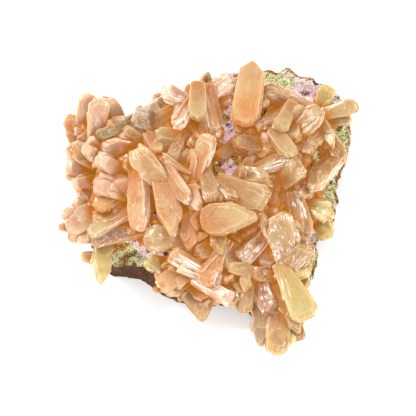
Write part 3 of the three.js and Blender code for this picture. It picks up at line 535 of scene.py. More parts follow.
def crystal(rng, start, end, wide, thick, roll=0, form="gable", flare=1.25, back=None, fine=1.0):
    """One crystal in millimetres: its points, faces, and each face corner's grain, place and nearness to an
    edge, which sets how much light is painted on its edges.
    It is a stack of plates that end and widen unevenly, so its narrow sides and tip are stepped."""
    length, axis, side, face = directions(start, end, roll)
    half = wide / 2
    root_half = half / flare
    plates = max(2, round(thick / PLATE))
    counts = np.array([
        max(5, round(wide / CELL * fine)),
        max(6, round((length + TAIL) / STATION * fine)),
        max(4, round(thick / CELL * fine), plates * 2),
    ])
    places, faces, kinds = block(counts)
    u, v, w = (places / counts * [2, 1, 2] - [1, 0, 1]).T
    plate = np.minimum(((w + 1) / 2 * plates).astype(int), plates - 1)
    shorter = rng.uniform(0, 0.34, plates)[plate] * half * rng.uniform(0.1, 1)
    narrower = rng.uniform(0, 0.3, plates)[plate] * min(1, half / 3)

    behind, teeth, wedge = broken_end(rng, form, half, plate, u, w)
    tip = length - behind - shorter - teeth - wedge
    foot = np.interp(-u, *zip(*ENDS[back])) * root_half * 0.8 if back else np.full(len(u), -TAIL)
    along = between(foot, tip, v)
    share = np.clip(along / length, 0, 1)
    width = np.interp(along, [-TAIL, length - half * 0.7], [root_half * (1 if back else 0.85), half])
    width = width * (1 + rng.uniform(-0.12, 0.06) * np.sin(math.pi * share))
    across = u * (width - narrower * (0.3 + 0.7 * share))
    across = across + along * np.tan(rng.uniform(-1, 1, plates) * FAN)[plate]
    depth = thick / 2 * (1 / math.sqrt(flare) + (1 - 1 / math.sqrt(flare)) * share)
    depth = depth * (1 - rng.uniform(0.05, 0.22) * np.abs(u) ** 2.8)
    across, along, through = roughened(rng, u, v, w, across, along, depth)
    across, through, sideways, outwards = bent(rng, length, share, across, through)

    points = start + np.outer(sideways, side) + np.outer(along, axis) + np.outer(outwards, face)
    uneven = LUMP * lumps(*points.T, (0.9, 2.2), int(rng.integers(1000)))
    points += np.outer(uneven * np.sign(through) * np.abs(w), face) + np.outer(uneven * u, side)

    corner = faces.ravel()
    kind = np.repeat(kinds, 4)
    offset = rng.uniform(0, 50, 2)
    grain_across = np.where(kind == NARROW, through[corner], across[corner])
    grain_along = np.where(kind == ENDING, through[corner], along[corner])
    grain = np.stack([grain_across + offset[0], grain_along + offset[1]], -1)
    sideness = np.where(kind == NARROW, 1.0, np.where(kind == ENDING, 0.5, 0.0))
    to_side = half * (1 - np.abs(u[corner]))
    to_face = thick / 2 * (1 - np.abs(w[corner]))
    to_tip = (tip - along)[corner]
    nearest = np.where(kind == NARROW, to_face, to_side)
    nearest = np.where(kind == BROAD, np.minimum(to_side, to_tip), nearest)
    # Nearness to an edge, for the painted edge light and the painted edge highlights
    edge = np.exp(-np.clip(nearest, 0, None) / EDGE_LIGHT_REACH)
    return points, faces, grain, np.stack([share[corner], sideness], -1), edge


def mesh_object(name, points, faces, layers=()):
    """A mesh object at the origin from points in millimetres, with UV maps and colours on its corners."""
    mesh = bpy.data.meshes.new(name)
    mesh.from_pydata((points * MM).tolist(), [], [tuple(face) for face in faces])
    for layer, values in layers:
        if values.shape[1] == 2:
            mesh.uv_layers.new(name=layer).data.foreach_set("uv", values.astype(np.float32).ravel())
        else:
            colour = np.concatenate([values, np.ones((len(values), 1))], 1).astype(np.float32)
            corners = mesh.color_attributes.new(layer, "FLOAT_COLOR", "CORNER").data
            corners.foreach_set("color", colour.ravel())
    thing = bpy.data.objects.new(name, mesh)
    bpy.context.scene.collection.objects.link(thing)
    return thing


def tinted(rng, name, shape, tone, pearl_highlight=0.0, painted_glint_amount=0.0):
    """A crystal as a mesh object, with its tone and the amounts of its painted highlights on its face corners.
    """
    points, faces, grain, place, edge = shape
    root, tip = (linear(colour) * rng.uniform(0.86, 1.06) for colour in TONES[tone])
    count = len(faces) * 4
    # How much painted pearly highlight, painted glitter highlight and painted edge light each corner has
    painted_highlight_amounts = np.column_stack([np.full(count, pearl_highlight), np.full(count, painted_glint_amount), edge])
    layers = [("grain", grain), ("place", place), ("painted_highlight_amounts", painted_highlight_amounts)]
    layers += [("root_tint", np.tile(root, (count, 1))), ("tip_tint", np.tile(tip, (count, 1)))]
    return mesh_object(name, points, faces, layers)


# Beds, and the small crystals that fill the gaps
BED_UNDERSIDE = 14.5
BED_SPREAD = 1.12  # a bed's outline at its underside against the one at its top
BED_SUNK = 1.5  # how far a bed's own top lies below the one given, which its crystals reach
RELIEF_CELL = 0.8
RELIEF_SIZE = 160  # cells each way
INFILL_DEPTH = 4.2  # depth of the shallowest gap that is filled
INFILL_ROOM = 5  # how many cells round a gap its neighbours are looked for
INFILL_SECTORS = 6  # of the ways round a gap, and how many of them need a higher neighbour
INFILL_SHUT = 5
INFILL_LENGTH = (6, 11)  # from the least to the most
INFILL_WIDTH = (5, 8.5)
INFILL_THICKNESS = (2.6, 4.2)
INFILL_ENDS = ("gable", "slant", "blunt")
INFILL_TONES = ("orange", "peach", "sand", "tan", "amber")

SKIRT_STEP = 4.5  # spacing of the small crystals round a bed, along its outline
SKIRT_RISE = 4.0  # and upwards
SKIRT_LENGTH = 7
SKIRT_WIDTH = (4, 7)
SKIRT_THICKNESS = (2.4, 3.8)
COVER = 1.5  # how much higher than a skirt's crystal the ones that hang over it are

# The specimen's upper outline in the picture, which the small crystals stay below
SKYLINE = [
    (60, 130), (72, 106), (86, 96), (112, 100), (126, 118), (140, 114), (160, 92), (180, 98), (200, 84),
    (216, 78), (232, 78), (246, 66), (262, 68), (300, 74), (350, 108),
]

# Where the crust or a dark hole shows, as outlines in the picture
WINDOWS = [
    [(256, 62), (300, 66), (342, 100), (322, 105), (318, 102), (298, 104), (282, 96), (262, 88)],
    [(221, 102), (235, 101), (240, 118), (238, 136), (224, 142), (216, 130)],
    [(206, 172), (213, 160), (229, 151), (263, 150), (262, 159), (246, 168), (232, 181), (214, 184)],
    [(250, 107), (270, 105), (273, 118), (262, 128), (252, 121)],
    [(334, 113), (356, 113), (356, 160), (341, 160), (334, 142)],
    [(331, 160), (352, 160), (344, 216), (323, 216), (316, 197), (320, 180)],
    [(304, 154), (314, 146), (324, 150), (316, 166), (306, 168)],
    [(308, 236), (322, 234), (323, 262), (313, 294), (304, 292), (311, 262)],
    [(112, 238), (140, 236), (152, 250), (158, 272), (112, 272)],
    [(152, 186), (161, 194), (161, 212), (151, 213)],
    [(239, 231), (251, 226), (252, 233), (242, 238)],
    [(268, 203), (277, 202), (277, 215), (269, 215)],
    [(267, 261), (277, 259), (277, 269), (268, 269)],
    [(116, 192), (126, 192), (126, 201), (116, 201)],
]
WINDOW_HEIGHT = 20
OPEN_SPOTS = [[seen_at(*place, WINDOW_HEIGHT)[:2] for place in outline] for outline in WINDOWS]


def inside(outline, x, y):
    """Whether a place lies inside an outline."""
    crossings = 0
    for (x0, y0), (x1, y1) in zip(outline, np.roll(outline, -1, axis=0)):
        if (y0 > y) != (y1 > y) and x < x0 + (y - y0) / (y1 - y0) * (x1 - x0):
            crossings += 1
    return crossings % 2 == 1


def in_window(points):
    return any(inside(outline, *point[:2]) for outline in OPEN_SPOTS for point in points)


def signed_area(rim):
    x, y = rim.T
    return 0.5 * np.sum(x * np.roll(y, -1) - np.roll(x, -1) * y)


def bed_mass(name, top, outline):
    """The low mass that a group's crystals stand in, and its outline at the top."""
    rim = np.array([seen_at(*place, top)[:2] for place in outline])
    middle = rim.mean(axis=0)
    low = between(middle, rim, BED_SPREAD)
    count = len(rim)
    points = np.concatenate([
        np.column_stack([low, np.full(count, BED_UNDERSIDE)]),
        np.column_stack([rim, np.full(count, top - BED_SUNK)]),
    ])
    walls = [(k, (k + 1) % count, count + (k + 1) % count, count + k) for k in range(count)]
    faces = [tuple(range(count))[::-1], *walls, tuple(range(count, 2 * count))]
    if signed_area(rim) < 0:
        faces = [face[::-1] for face in faces]
    corners = sum(len(face) for face in faces)
    root, tip = (linear(colour) for colour in TONES["peach"])
    grain = points[np.concatenate(faces)] @ [[0.8, 0.3], [-0.6, 0.4], [0.2, 0.8]]
    layers = [("grain", grain), ("place", np.zeros((corners, 2)))]
    layers += [(layer, np.tile(value, (corners, 1))) for layer, value in
               (("root_tint", root), ("tip_tint", tip), ("painted_highlight_amounts", np.zeros(3)))]
    return mesh_object(name, points, faces, layers)


def cells_of(points):
    return np.clip((points[:, :2] / RELIEF_CELL).astype(int) + RELIEF_SIZE // 2, 0, RELIEF_SIZE - 1).T


def cell_of(point):
    return tuple(cells_of(point[None])[:, 0])


def lay(relief, topmost, shape, number):
    """Raises the relief to a crystal's surface, and notes which crystal is on top where."""
    points = np.concatenate([shape[0], shape[0][shape[1]].mean(axis=1)])
    points = points[np.argsort(points[:, 2])]
    x, y = cells_of(points)
    higher = points[:, 2] > relief[x, y]
    relief[x[higher], y[higher]] = points[higher, 2]
    topmost[x[higher], y[higher]] = number


def relief_with(planted, relief):
    """That relief raised to every planted crystal, and which crystal is on top where."""
    topmost = np.full(relief.shape, -1)
    for number, (_, shape, _, _) in enumerate(planted):
        lay(relief, topmost, shape, number)
    return relief, topmost


def small_look(tone):
    return {"tone": tone, "pearl_highlight": 0.3, "painted_glint_amount": 0.1}


def cells_round():
    """The steps from a cell to those round it, and which of the ways round it each one lies in."""
    reach = range(-INFILL_ROOM, INFILL_ROOM + 1)
    steps_round = np.array([(i, j) for i in reach for j in reach if 0 < math.hypot(i, j) <= INFILL_ROOM])
    turn = np.arctan2(*steps_round.T) / (2 * math.pi)
    return steps_round, (turn * INFILL_SECTORS).astype(int) % INFILL_SECTORS


def bare_crust():
    """The height of the crust's top in each cell of the relief."""
    x, y = (np.indices((RELIEF_SIZE, RELIEF_SIZE)) - RELIEF_SIZE / 2 + 0.5) * RELIEF_CELL
    from_middle = np.stack([x, y], -1) - STONE_MIDDLE
    share = np.hypot(*from_middle.T).T / rim_reach(np.arctan2(from_middle[..., 1], from_middle[..., 0]))
    return np.where(share < 1, crust_top(x, y, np.minimum(share, 1)), 0)


def infill(rng, planted):
    """Adds small crystals in the gaps between the larger ones, each much like one of its neighbours.
    What is planted is a list of crystals, each with its group, shape, look and heading."""
    relief, topmost = relief_with(planted, bare_crust())
    first, owners = relief.copy(), topmost.copy()
    steps_round, sectors = cells_round()
    spots = np.argwhere(relief[INFILL_ROOM:-INFILL_ROOM, INFILL_ROOM:-INFILL_ROOM] > 0) + INFILL_ROOM
    for spot in rng.permutation(spots):
        floor = relief[tuple(spot)]
        round_it = tuple((spot + steps_round).T)
        high = (first[round_it] > floor + INFILL_DEPTH) & (owners[round_it] >= 0)
        if len(set(sectors[high])) < INFILL_SHUT:
            continue
        place = (spot - RELIEF_SIZE / 2 + 0.5) * RELIEF_CELL
        level = np.percentile(first[round_it][high], 40)
        group, _, look, heading = planted[rng.choice(owners[round_it][high])]
        heading = heading + rng.normal(size=3) * 0.22
        heading[2] = rng.uniform(0.25, 0.6)
        heading /= np.linalg.norm(heading)
        tip = np.array([*place, between(floor, level, rng.uniform(0.3, 0.6))]) + heading
        root = tip - heading * rng.uniform(*INFILL_LENGTH)
        over = root + np.outer([-0.2, 0.0, 0.25, 0.5, 0.75, 1.0, 1.15], tip - root)
        column, row = shown_at(*over.T)
        in_sky = np.any(row < np.interp(column, *zip(*SKYLINE)))
        if in_sky or first[cell_of(over[-1])] < floor or in_window(over):
            continue
        tone = look["tone"] if rng.uniform() < 0.7 else rng.choice(INFILL_TONES)
        shape = crystal(rng, root, tip, rng.uniform(*INFILL_WIDTH), rng.uniform(*INFILL_THICKNESS),
                        roll=rng.uniform(-30, 30), form=rng.choice(INFILL_ENDS), flare=rng.uniform(1.2, 1.7),
                        fine=0.8)
        planted.append((group, shape, small_look(tone), heading))
        lay(relief, topmost, shape, len(planted) - 1)


def bed_sides(rng, top, outline):
    """Places all over a bed's sides, and the way out from there."""
    rim = np.array([seen_at(*place, top)[:2] for place in outline])
    middle = rim.mean(axis=0)
    for corner, following in zip(rim, np.roll(rim, -1, axis=0)):
        count = max(1, round(math.dist(corner, following) / SKIRT_STEP))
        for way in range(count):
            for height in np.arange(BED_UNDERSIDE + 2, top - 1, SKIRT_RISE):
                foot = between(corner, following, (way + rng.uniform(0, 1)) / count)
                rise = (height - BED_UNDERSIDE) / (top - BED_UNDERSIDE)
                foot = middle + (foot - middle) * between(BED_SPREAD, 1, rise)
                yield foot, height, (foot - middle) / math.dist(foot, middle)


def skirts(rng, planted):
    """Adds small crystals round the sides of each bed, below the ones that hang over it."""
    relief, _ = relief_with(planted, np.zeros((RELIEF_SIZE, RELIEF_SIZE)))
    for group, top, outline in ((group, *bed) for group, beds in BEDS.items() for bed in beds):
        tones = [blade(*row)[3]["tone"] for row in BLADES[group]]
        for foot, height, outward in bed_sides(rng, top, outline):
            heading = np.array([*outward, rng.uniform(0.15, 0.7)]) + rng.normal(size=3) * 0.25
            heading /= np.linalg.norm(heading)
            base = np.array([*foot, height + rng.uniform(-1, 1)])
            tip = base + heading * rng.uniform(1.5, 3.5)
            if in_window([tip]):
                tip = base + heading * rng.uniform(0.3, 1.2)
            if relief[cell_of(tip)] < tip[2] + COVER and tip[2] > top - COVER:
                continue
            root = tip - heading * SKIRT_LENGTH
            shape = crystal(rng, root, tip, rng.uniform(*SKIRT_WIDTH), rng.uniform(*SKIRT_THICKNESS),
                            roll=rng.uniform(-40, 40), form=rng.choice(INFILL_ENDS), flare=1.5, fine=0.7)
            planted.append((group, shape, small_look(rng.choice(tones)), heading))


def joined(name, pieces):
    """The union of overlapping closed pieces, as one plain mesh object."""
    others = bpy.data.collections.new(name)
    for piece in pieces[1:]:
        others.objects.link(piece)
    union = pieces[0].modifiers.new("union", "BOOLEAN")
    union.operation = "UNION"
    union.operand_type = "COLLECTION"
    union.collection = others
    union.solver = "MANIFOLD"
    graph = bpy.context.evaluated_depsgraph_get()
    mesh = bpy.data.meshes.new_from_object(pieces[0].evaluated_get(graph), depsgraph=graph)
    for piece in pieces:
        old = piece.data
        bpy.data.objects.remove(piece)
        bpy.data.meshes.remove(old)
    bpy.data.collections.remove(others)
    mesh.name = name
    mesh.shade_smooth()
    mesh.set_sharp_from_angle(angle=math.radians(28))
    thing = bpy.data.objects.new(name, mesh)
    bpy.context.scene.collection.objects.link(thing)
    return thing


def any_end(rng):
    return rng.choice(list(ENDS))


def sheaf_mates(rng, start, end, wide, thick, roll, back):
    """Smaller crystals grown together with a wide one, nearly parallel to it and spreading a little."""
    _, _, side, face = directions(start, end, roll)
    mates = []
    for sign in (-1, 1) if wide > 3.2 else ():
        if rng.uniform() < 0.15:
            continue
        sunk = rng.uniform(-0.22, 0.2) * thick * face
        aside = side * sign * wide
        root = between(start, end, 0.3 if back else 0) + aside * rng.uniform(0, 0.2) + sunk
        reach = between(start, end, rng.uniform(0.5, 0.9)) + aside * rng.uniform(0.24, 0.36) + sunk
        mates.append(crystal(rng, root, reach, wide * rng.uniform(0.4, 0.6), thick * rng.uniform(0.7, 1.0),
                             roll=roll + sign * rng.uniform(-6, 16), form=any_end(rng), flare=1.3))
    return mates


def scales(rng, start, end, wide, thick, roll):
    """Thin plates that lie on a crystal's broad face and stop short of its end."""
    _, _, side, face = directions(start, end, roll)
    plates = []
    for _ in range(int(rng.integers(0, 3)) if wide > 3.6 else 0):
        lift = face * thick * rng.uniform(0.36, 0.42)
        aside = side * wide * rng.uniform(-0.24, 0.24)
        root = between(start, end, rng.uniform(0, 0.35)) + lift * 0.8 + aside * rng.uniform(0.2, 1)
        reach = between(start, end, rng.uniform(0.55, 0.92)) + lift + aside
        if np.linalg.norm(reach - root) > 2.5:
            plates.append(crystal(rng, root, reach, wide * rng.uniform(0.3, 0.62), rng.uniform(0.7, 1.3),
                                  roll=roll + rng.uniform(-7, 7), form=any_end(rng), flare=1.2,
                                  back=any_end(rng)))
    return plates


def blade(root, tip, wide, thick, end, tone, pearl_highlight=0.0, painted_glint_amount=0.0, roll=0, flare=1.25, back=None):
    """A large crystal's root and tip in millimetres, its form and its look, from its row."""
    form = {"wide": wide, "thick": thick, "roll": roll, "form": end, "flare": flare, "back": back}
    return seen_at(*root), seen_at(*tip), form, {"tone": tone, "pearl_highlight": pearl_highlight, "painted_glint_amount": painted_glint_amount}


def heading_of(start, end):
    return (end - start) / np.linalg.norm(end - start)


def plant(rng, group):
    """A group's crystals, each with its group, shape, look and heading."""
    planted = []
    for root, tip, wide, tone in FILLERS[group]:
        start, end = seen_at(*root), seen_at(*tip)
        shape = crystal(rng, start, end, wide, 4, roll=rng.uniform(-15, 15), form=any_end(rng), flare=1.5)
        planted.append((group, shape, small_look(tone), heading_of(start, end)))
    for row in BLADES[group]:
        start, end, form, look = blade(*row)
        place = (start, end, form["wide"], form["thick"], form["roll"])
        shapes = [crystal(rng, start, end, **form)]
        shapes += sheaf_mates(rng, *place, form["back"])
        shapes += scales(rng, *place)
        planted += [(group, shape, look, heading_of(start, end)) for shape in shapes]
    return planted


def build_groups():
    """Every group as one mesh: its crystals, those in its gaps, and the low mass that they stand in."""
    planted = []
    for number, group in enumerate(BLADES):
        planted += plant(np.random.default_rng(SEED + number), group)
    rng = np.random.default_rng(SEED)
    infill(rng, planted)
    skirts(rng, planted)
    groups = {}
    for group, beds in BEDS.items():
        name = "crystals_" + group
        pieces = [bed_mass(name, top, outline) for top, outline in beds]
        pieces += [tinted(rng, name, shape, **look) for owner, shape, look, _ in planted if owner == group]
        groups[group] = joined(name, pieces)
    return groups


# The stone and its crust
STONE_RIM_HEIGHT = 13.5
STONE_DOME = 3.2
CRUST_THICKNESS = 2.8
CRUST_EDGE_THICKNESS = 1.6
CRUST_GAP = 0.3  # between the stone and the crust, where they are cut to each other's shape
RIM = [
    (232, 73), (248, 70), (264, 68), (279, 71), (288, 66), (301, 75), (314, 79), (329, 86), (341, 97),
    (350, 110), (352, 128), (351, 147), (345, 165), (337, 184), (338, 204), (336, 219), (327, 232),
    (316, 243), (318, 261), (312, 279), (306, 292), (305, 308), (293, 323), (274, 330), (257, 322),
    (246, 307), (232, 301), (207, 300), (184, 292), (166, 284), (155, 275), (144, 268), (131, 266),
    (115, 267), (101, 255), (91, 236), (84, 212), (80, 184), (82, 155), (90, 134), (106, 122), (130, 115),
    (151, 109), (172, 100), (192, 92), (214, 80),
]
STONE_MIDDLE = seen_at(212, 184, STONE_RIM_HEIGHT)[:2]


def rim_reach(angles):
    """How far the rim is from the stone's middle, in those directions."""
    spokes = np.array([seen_at(*place, STONE_RIM_HEIGHT)[:2] for place in RIM]) - STONE_MIDDLE
    bearing = np.arctan2(spokes[:, 1], spokes[:, 0])
    order = np.argsort(bearing)
    return np.interp(angles, bearing[order], np.linalg.norm(spokes, axis=1)[order], period=2 * math.pi)


def round_middle(angles, reach):
    """Places round the stone's middle, that far from it."""
    return (STONE_MIDDLE + np.stack([np.cos(angles), np.sin(angles)], -1) * reach[:, None]).T


def stone_top(x, y, share):
    uneven = 0.7 * np.sin(x / 7 + 1.3) * np.cos(y / 9) + 0.35 * np.sin(x / 3.1 + y / 4.3)
    return STONE_RIM_HEIGHT + STONE_DOME * (1 - share ** 2) + uneven * (1 - 0.5 * share)


def crust_top(x, y, share):
    thick = CRUST_THICKNESS + (CRUST_EDGE_THICKNESS - CRUST_THICKNESS) * share ** 4
    return stone_top(x, y, share) + CRUST_GAP + thick


def turned_solid(name, rings):
    """A closed mesh from rings of points, the first and last of them closed to their middle."""
    count = len(rings[0])
    points = np.concatenate([rings[0].mean(axis=0)[None], *rings, rings[-1].mean(axis=0)[None]])
    step = np.arange(count)
    after = (step + 1) % count
    faces = [(0, 1 + a, 1 + b) for a, b in zip(after, step)]
    for ring in range(len(rings) - 1):
        lower, upper = 1 + ring * count, 1 + (ring + 1) * count
        faces += list(zip(lower + step, lower + after, upper + after, upper + step))
    last = 1 + (len(rings) - 1) * count
    faces += [(last + a, last + b, len(points) - 1) for a, b in zip(step, after)]
    thing = mesh_object(name, points, [tuple(int(i) for i in face) for face in faces])
    thing.data.shade_smooth()
    return thing


def mark_points(thing, name, values):
    """Puts a value on each of a mesh's points."""
    thing.data.attributes.new(name, "FLOAT", "POINT").data.foreach_set("value", values.astype(np.float32))


# Where the crust is stained, as column, row and radius in the picture
OLIVE_STAINS = [
    (272, 77, 13), (285, 84, 8), (343, 135, 15), (338, 160, 12), (330, 186, 17), (314, 160, 10),
    (334, 208, 10), (314, 258, 13), (309, 282, 10), (122, 254, 13), (134, 262, 9), (212, 163, 7),
    (245, 233, 8), (250, 232, 6),
]
BROWN_STAINS = [
    (217, 176, 9), (155, 208, 6), (258, 112, 9), (224, 116, 5), (122, 197, 7), (273, 210, 8), (264, 244, 5),
    (271, 265, 6), (255, 284, 5), (168, 107, 4), (236, 158, 5), (310, 164, 7), (118, 246, 7), (126, 259, 5),
]


def stain_of(x, y, z, stains):
    """How strong those stains are at places in millimetres, from 0 to 1."""
    column, row = shown_at(x, y, z)
    wobble = 0.35 * lumps(x, y, 0 * x, (0.9, 2.1), 12)
    spots = [np.clip(1.6 - np.hypot(column - c, row - r) / size + wobble, 0, 1) for c, r, size in stains]
    return np.max(spots, axis=0)


def build_crust():
    """The crust: a lumpy sheet with small pits over the stone's top, down to a ragged edge."""
    angles = np.linspace(0, 2 * math.pi, 460, endpoint=False)
    reach = rim_reach(angles) - 0.3
    ragged = 0.5 * lumps(np.cos(angles) * 46, np.sin(angles) * 46, 0 * angles, (0.5, 1.1, 2.2), 3)
    rings, pits, brims = [], [], []
    for share in (0.04, 0.5, 0.99):
        x, y = round_middle(angles, reach * share)
        rings.append(np.column_stack([x, y, stone_top(x, y, share) + 0.15]))
        pits.append(0 * x)
        brims.append(0 * x)
    for share in [1.0, 1.003, *np.linspace(0.995, 0.01, 95)]:
        x, y = round_middle(angles, reach * share + ragged * share ** 6)
        fine = lumps(x, y, 0 * x, (2.2, 3.6, 5.5), 5)
        broad = lumps(x, y, 0 * x, (0.45, 0.8), 6)
        hollow = np.clip(lumps(x, y, 0 * x, (1.3, 2.3), 7) - 0.55, 0, 0.8)
        z = crust_top(x, y, share) + 0.3 * fine + 0.25 * broad - 0.9 * hollow
        drop = {1.0: 0.85, 1.003: 0.4}.get(share, 0)
        rings.append(np.column_stack([x, y, z - drop * CRUST_EDGE_THICKNESS]))
        pits.append(np.clip(0.2 - 0.2 * fine + 0.9 * hollow, 0, 1))
        brims.append(np.full(len(x), np.clip((share - 0.955) / 0.04, 0, 1)))
    thing = turned_solid("mordenite", rings)
    x, y, z = np.concatenate([rings[0][:1], *rings, rings[-1][:1]]).T
    pit, brim = (np.concatenate([part[0][:1], *part, part[-1][:1]]) for part in (pits, brims))
    rusty_brim = brim * (0.6 + 0.4 * lumps(x, y, z, (0.6, 1.3), 14))
    brown = np.maximum(stain_of(x, y, z, BROWN_STAINS), rusty_brim)
    stains = np.column_stack([stain_of(x, y, z, OLIVE_STAINS), np.clip(brown, 0, 1), pit, np.ones(len(x))])
    layer = thing.data.color_attributes.new("stains", "FLOAT_COLOR", "POINT")
    layer.data.foreach_set("color", stains.astype(np.float32).ravel())
    mark_points(thing, "brim", brim)
    return thing


def build_stone():
    """The basalt: a flat underside, broken sides that step in below, and a domed top under the crust."""
    angles = np.linspace(0, 2 * math.pi, 360, endpoint=False)
    reach = rim_reach(angles)
    front_left = np.clip(np.cos(angles + 2.2), 0, 1) ** 3
    undercut = 4.2 - 7.4 * front_left
    heights = [(0.0, 0.94), (0.0, 0.99), (0.35, 1.0)]
    heights += [(height, 1.0) for height in np.linspace(1, STONE_RIM_HEIGHT - 0.6, 26)]
    rings = []
    for height, inner in heights:
        low = np.interp(height, [0, 2.2, 6.5, 10.5, 13.5], [1, 0.75, 0.3, 0.05, 0])
        x, y = round_middle(angles, reach - undercut * low)
        tall = np.full(len(x), height)
        # Broken facets: noise in steps, with a finer grain on top
        coarse = np.round(lumps(x, y, tall * 1.6, (0.35, 0.7), 8) * 2.2) / 2.2
        rough = 0.75 * coarse + 0.35 * lumps(x, y, tall, (1.6, 3.0), 9)
        rough = rough - 0.9 * np.clip(height / 6 - 0.5, 0, 1)  # the top stays under the crust
        edge = (reach - undercut * low + rough * min(1, 0.4 + height / 4)) * inner
        rings.append(np.column_stack([*round_middle(angles, edge), tall]))
    for share in (0.985, 0.9, 0.7, 0.4, 0.1):
        x, y = round_middle(angles, reach * share)
        rings.append(np.column_stack([x, y, stone_top(x, y, share) - 0.05]))
    return turned_solid("basalt", rings)


# The crust's needles
NEEDLE_DENSITY = 9.0  # on a square millimetre
NEEDLE_LENGTH = 0.75
NEEDLE_RADIUS = 0.09
NEEDLE_TILT = 1.1

# Clefts: how deep a point lies among the crystals round it, which sets the painted shade and emission there
CLEFT_CELL = 0.8
CLEFT_BLUR = 3.2
CLEFT_DEPTH = 5.5
CLEFT_REACH = 6.0  # how near a drop must be to let the light in from the side
CLEFT_MARGIN = 12  # of empty ground round the specimen
DROP = 9  # how high above such a drop the light begins to reach in
DROP_SPAN = 7  # and over how much more it grows to its full share
DROP_LIGHT = 0.85


def points_of(thing):
    """A mesh's points in millimetres."""
    flat = np.empty(len(thing.data.vertices) * 3, np.float32)
    thing.data.vertices.foreach_get("co", flat)
    return flat.reshape(-1, 3) / MM


def blurred(surface):
    reach = int(CLEFT_BLUR * 2.5 / CLEFT_CELL)
    weights = np.exp(-0.5 * (np.arange(-reach, reach + 1) * CLEFT_CELL / CLEFT_BLUR) ** 2)
    weights /= weights.sum()
    for axis in (0, 1):
        surface = sum(weight * np.roll(surface, k - reach, axis) for k, weight in enumerate(weights))
    return surface


def mark_clefts(things):
    """Gives each point a cleft value from 0, in the open, to 1, deep between crystals that stand above it,
    and an open value of 1 where nothing covers it."""
    clouds = [points_of(thing) for thing in things]
    every = np.concatenate(clouds)
    low = every[:, :2].min(axis=0) - CLEFT_MARGIN
    size = np.ceil((every[:, :2].max(axis=0) + CLEFT_MARGIN - low) / CLEFT_CELL).astype(int) + 1
    surface = np.zeros(size)
    np.maximum.at(surface, tuple(((every[:, :2] - low) / CLEFT_CELL).astype(int).T), every[:, 2])
    for axis in (0, 1):  # cells that no point fell in take their neighbours' height
        surface = np.maximum(surface, np.minimum(np.roll(surface, 1, axis), np.roll(surface, -1, axis)))
    level = blurred(surface)
    lowest = surface
    for _ in range(int(CLEFT_REACH / CLEFT_CELL)):
        shifted = [np.roll(lowest, shift, axis) for shift in (-1, 1) for axis in (0, 1)]
        lowest = np.minimum.reduce([lowest, *shifted])
    for thing, cloud in zip(things, clouds):
        cells = tuple(((cloud[:, :2] - low) / CLEFT_CELL).astype(int).T)
        height = cloud[:, 2]
        beside_drop = np.clip((height - lowest[cells] - DROP) / DROP_SPAN, 0, 1)
        depth = (level[cells] - height) / CLEFT_DEPTH * (1 - DROP_LIGHT * beside_drop)
        mark_points(thing, "cleft", np.clip(depth, 0, 1))
        mark_points(thing, "open", np.clip(2 - (surface[cells] - height), 0, 1))


# Nodes
def new_node(tree, kind, inputs=(), **settings):
    """A node with its settings, and its inputs set to a value or joined to another node's output."""
    made = tree.nodes.new(kind)
    for key, value in settings.items():
        setattr(made, key, value)
    for key, value in dict(inputs).items():
        if isinstance(value, bpy.types.NodeSocket):
            tree.links.new(value, made.inputs[key])
        else:
            made.inputs[key].default_value = value
    return made


def blend(tree, share, first, second):
    """The colour that lies that share of the way between two colours."""
    return new_node(tree, "ShaderNodeMix", {0: share, 6: first, 7: second}, data_type="RGBA").outputs[2]


def sums(tree, kind, first, second=0.0, third=0.0, clamp=False):
    """A sum of numbers or outputs, of the kind that the Math node has."""
    made = new_node(tree, "ShaderNodeMath", {0: first, 1: second, 2: third}, operation=kind, use_clamp=clamp)
    return made.outputs[0]


def scaled(tree, value, factor, added=0.0, clamp=False):
    return sums(tree, "MULTIPLY_ADD", value, factor, added, clamp)


def wash(tree, colour, share, strength, rgb):
    """The colour with a paint laid over it, where the mask is and up to that strength."""
    return blend(tree, scaled(tree, share, strength), colour, paint(rgb))


def steps(tree, value, low, high):
    """0 below low, 1 above high, and smooth between."""
    return new_node(tree, "ShaderNodeMapRange", {"Value": value, "From Min": low, "From Max": high},
                    interpolation_type="SMOOTHSTEP").outputs[0]


def noise_of(tree, place, scale, detail=2.0, roughness=0.5):
    return new_node(tree, "ShaderNodeTexNoise",
                    {"Vector": place, "Scale": scale, "Detail": detail, "Roughness": roughness}).outputs["Fac"]


def streaks_of(tree, grain, across, along, roughness=0.5):
    """Noise drawn out along a crystal."""
    place = new_node(tree, "ShaderNodeMapping", {"Vector": grain, "Scale": (across, along, 1)}).outputs[0]
    return noise_of(tree, place, 1.0, 3, roughness)


def object_place(tree):
    return new_node(tree, "ShaderNodeTexCoord").outputs["Object"]


def attribute(tree, name, kind="Fac"):
    """What a mesh carries under that name: a value, a colour or a vector."""
    return new_node(tree, "ShaderNodeAttribute", attribute_name=name).outputs[kind]


def parts_of(tree, vector):
    return new_node(tree, "ShaderNodeSeparateXYZ", {0: vector}).outputs


def new_group(name, kind, inputs, outputs):
    """An empty node group with those inputs and outputs, and what it is given."""
    tree = bpy.data.node_groups.new(name, kind)
    for way, sockets in (("INPUT", inputs), ("OUTPUT", outputs)):
        for socket, value in sockets.items():
            tree.interface.new_socket(socket, in_out=way, socket_type="NodeSocket" + value)
    return tree, new_node(tree, "NodeGroupInput").outputs


def patches_group():
    """A mask of soft patches, for every material."""
    inputs = {"Place": "Vector", "Scale": "Float", "From": "Float", "To": "Float"}
    tree, given = new_group("patches", "ShaderNodeTree", inputs, {"Mask": "Float"})
    noise = noise_of(tree, given["Place"], given["Scale"], 3, 0.55)
    new_node(tree, "NodeGroupOutput", {"Mask": steps(tree, noise, given["From"], given["To"])})
    return tree


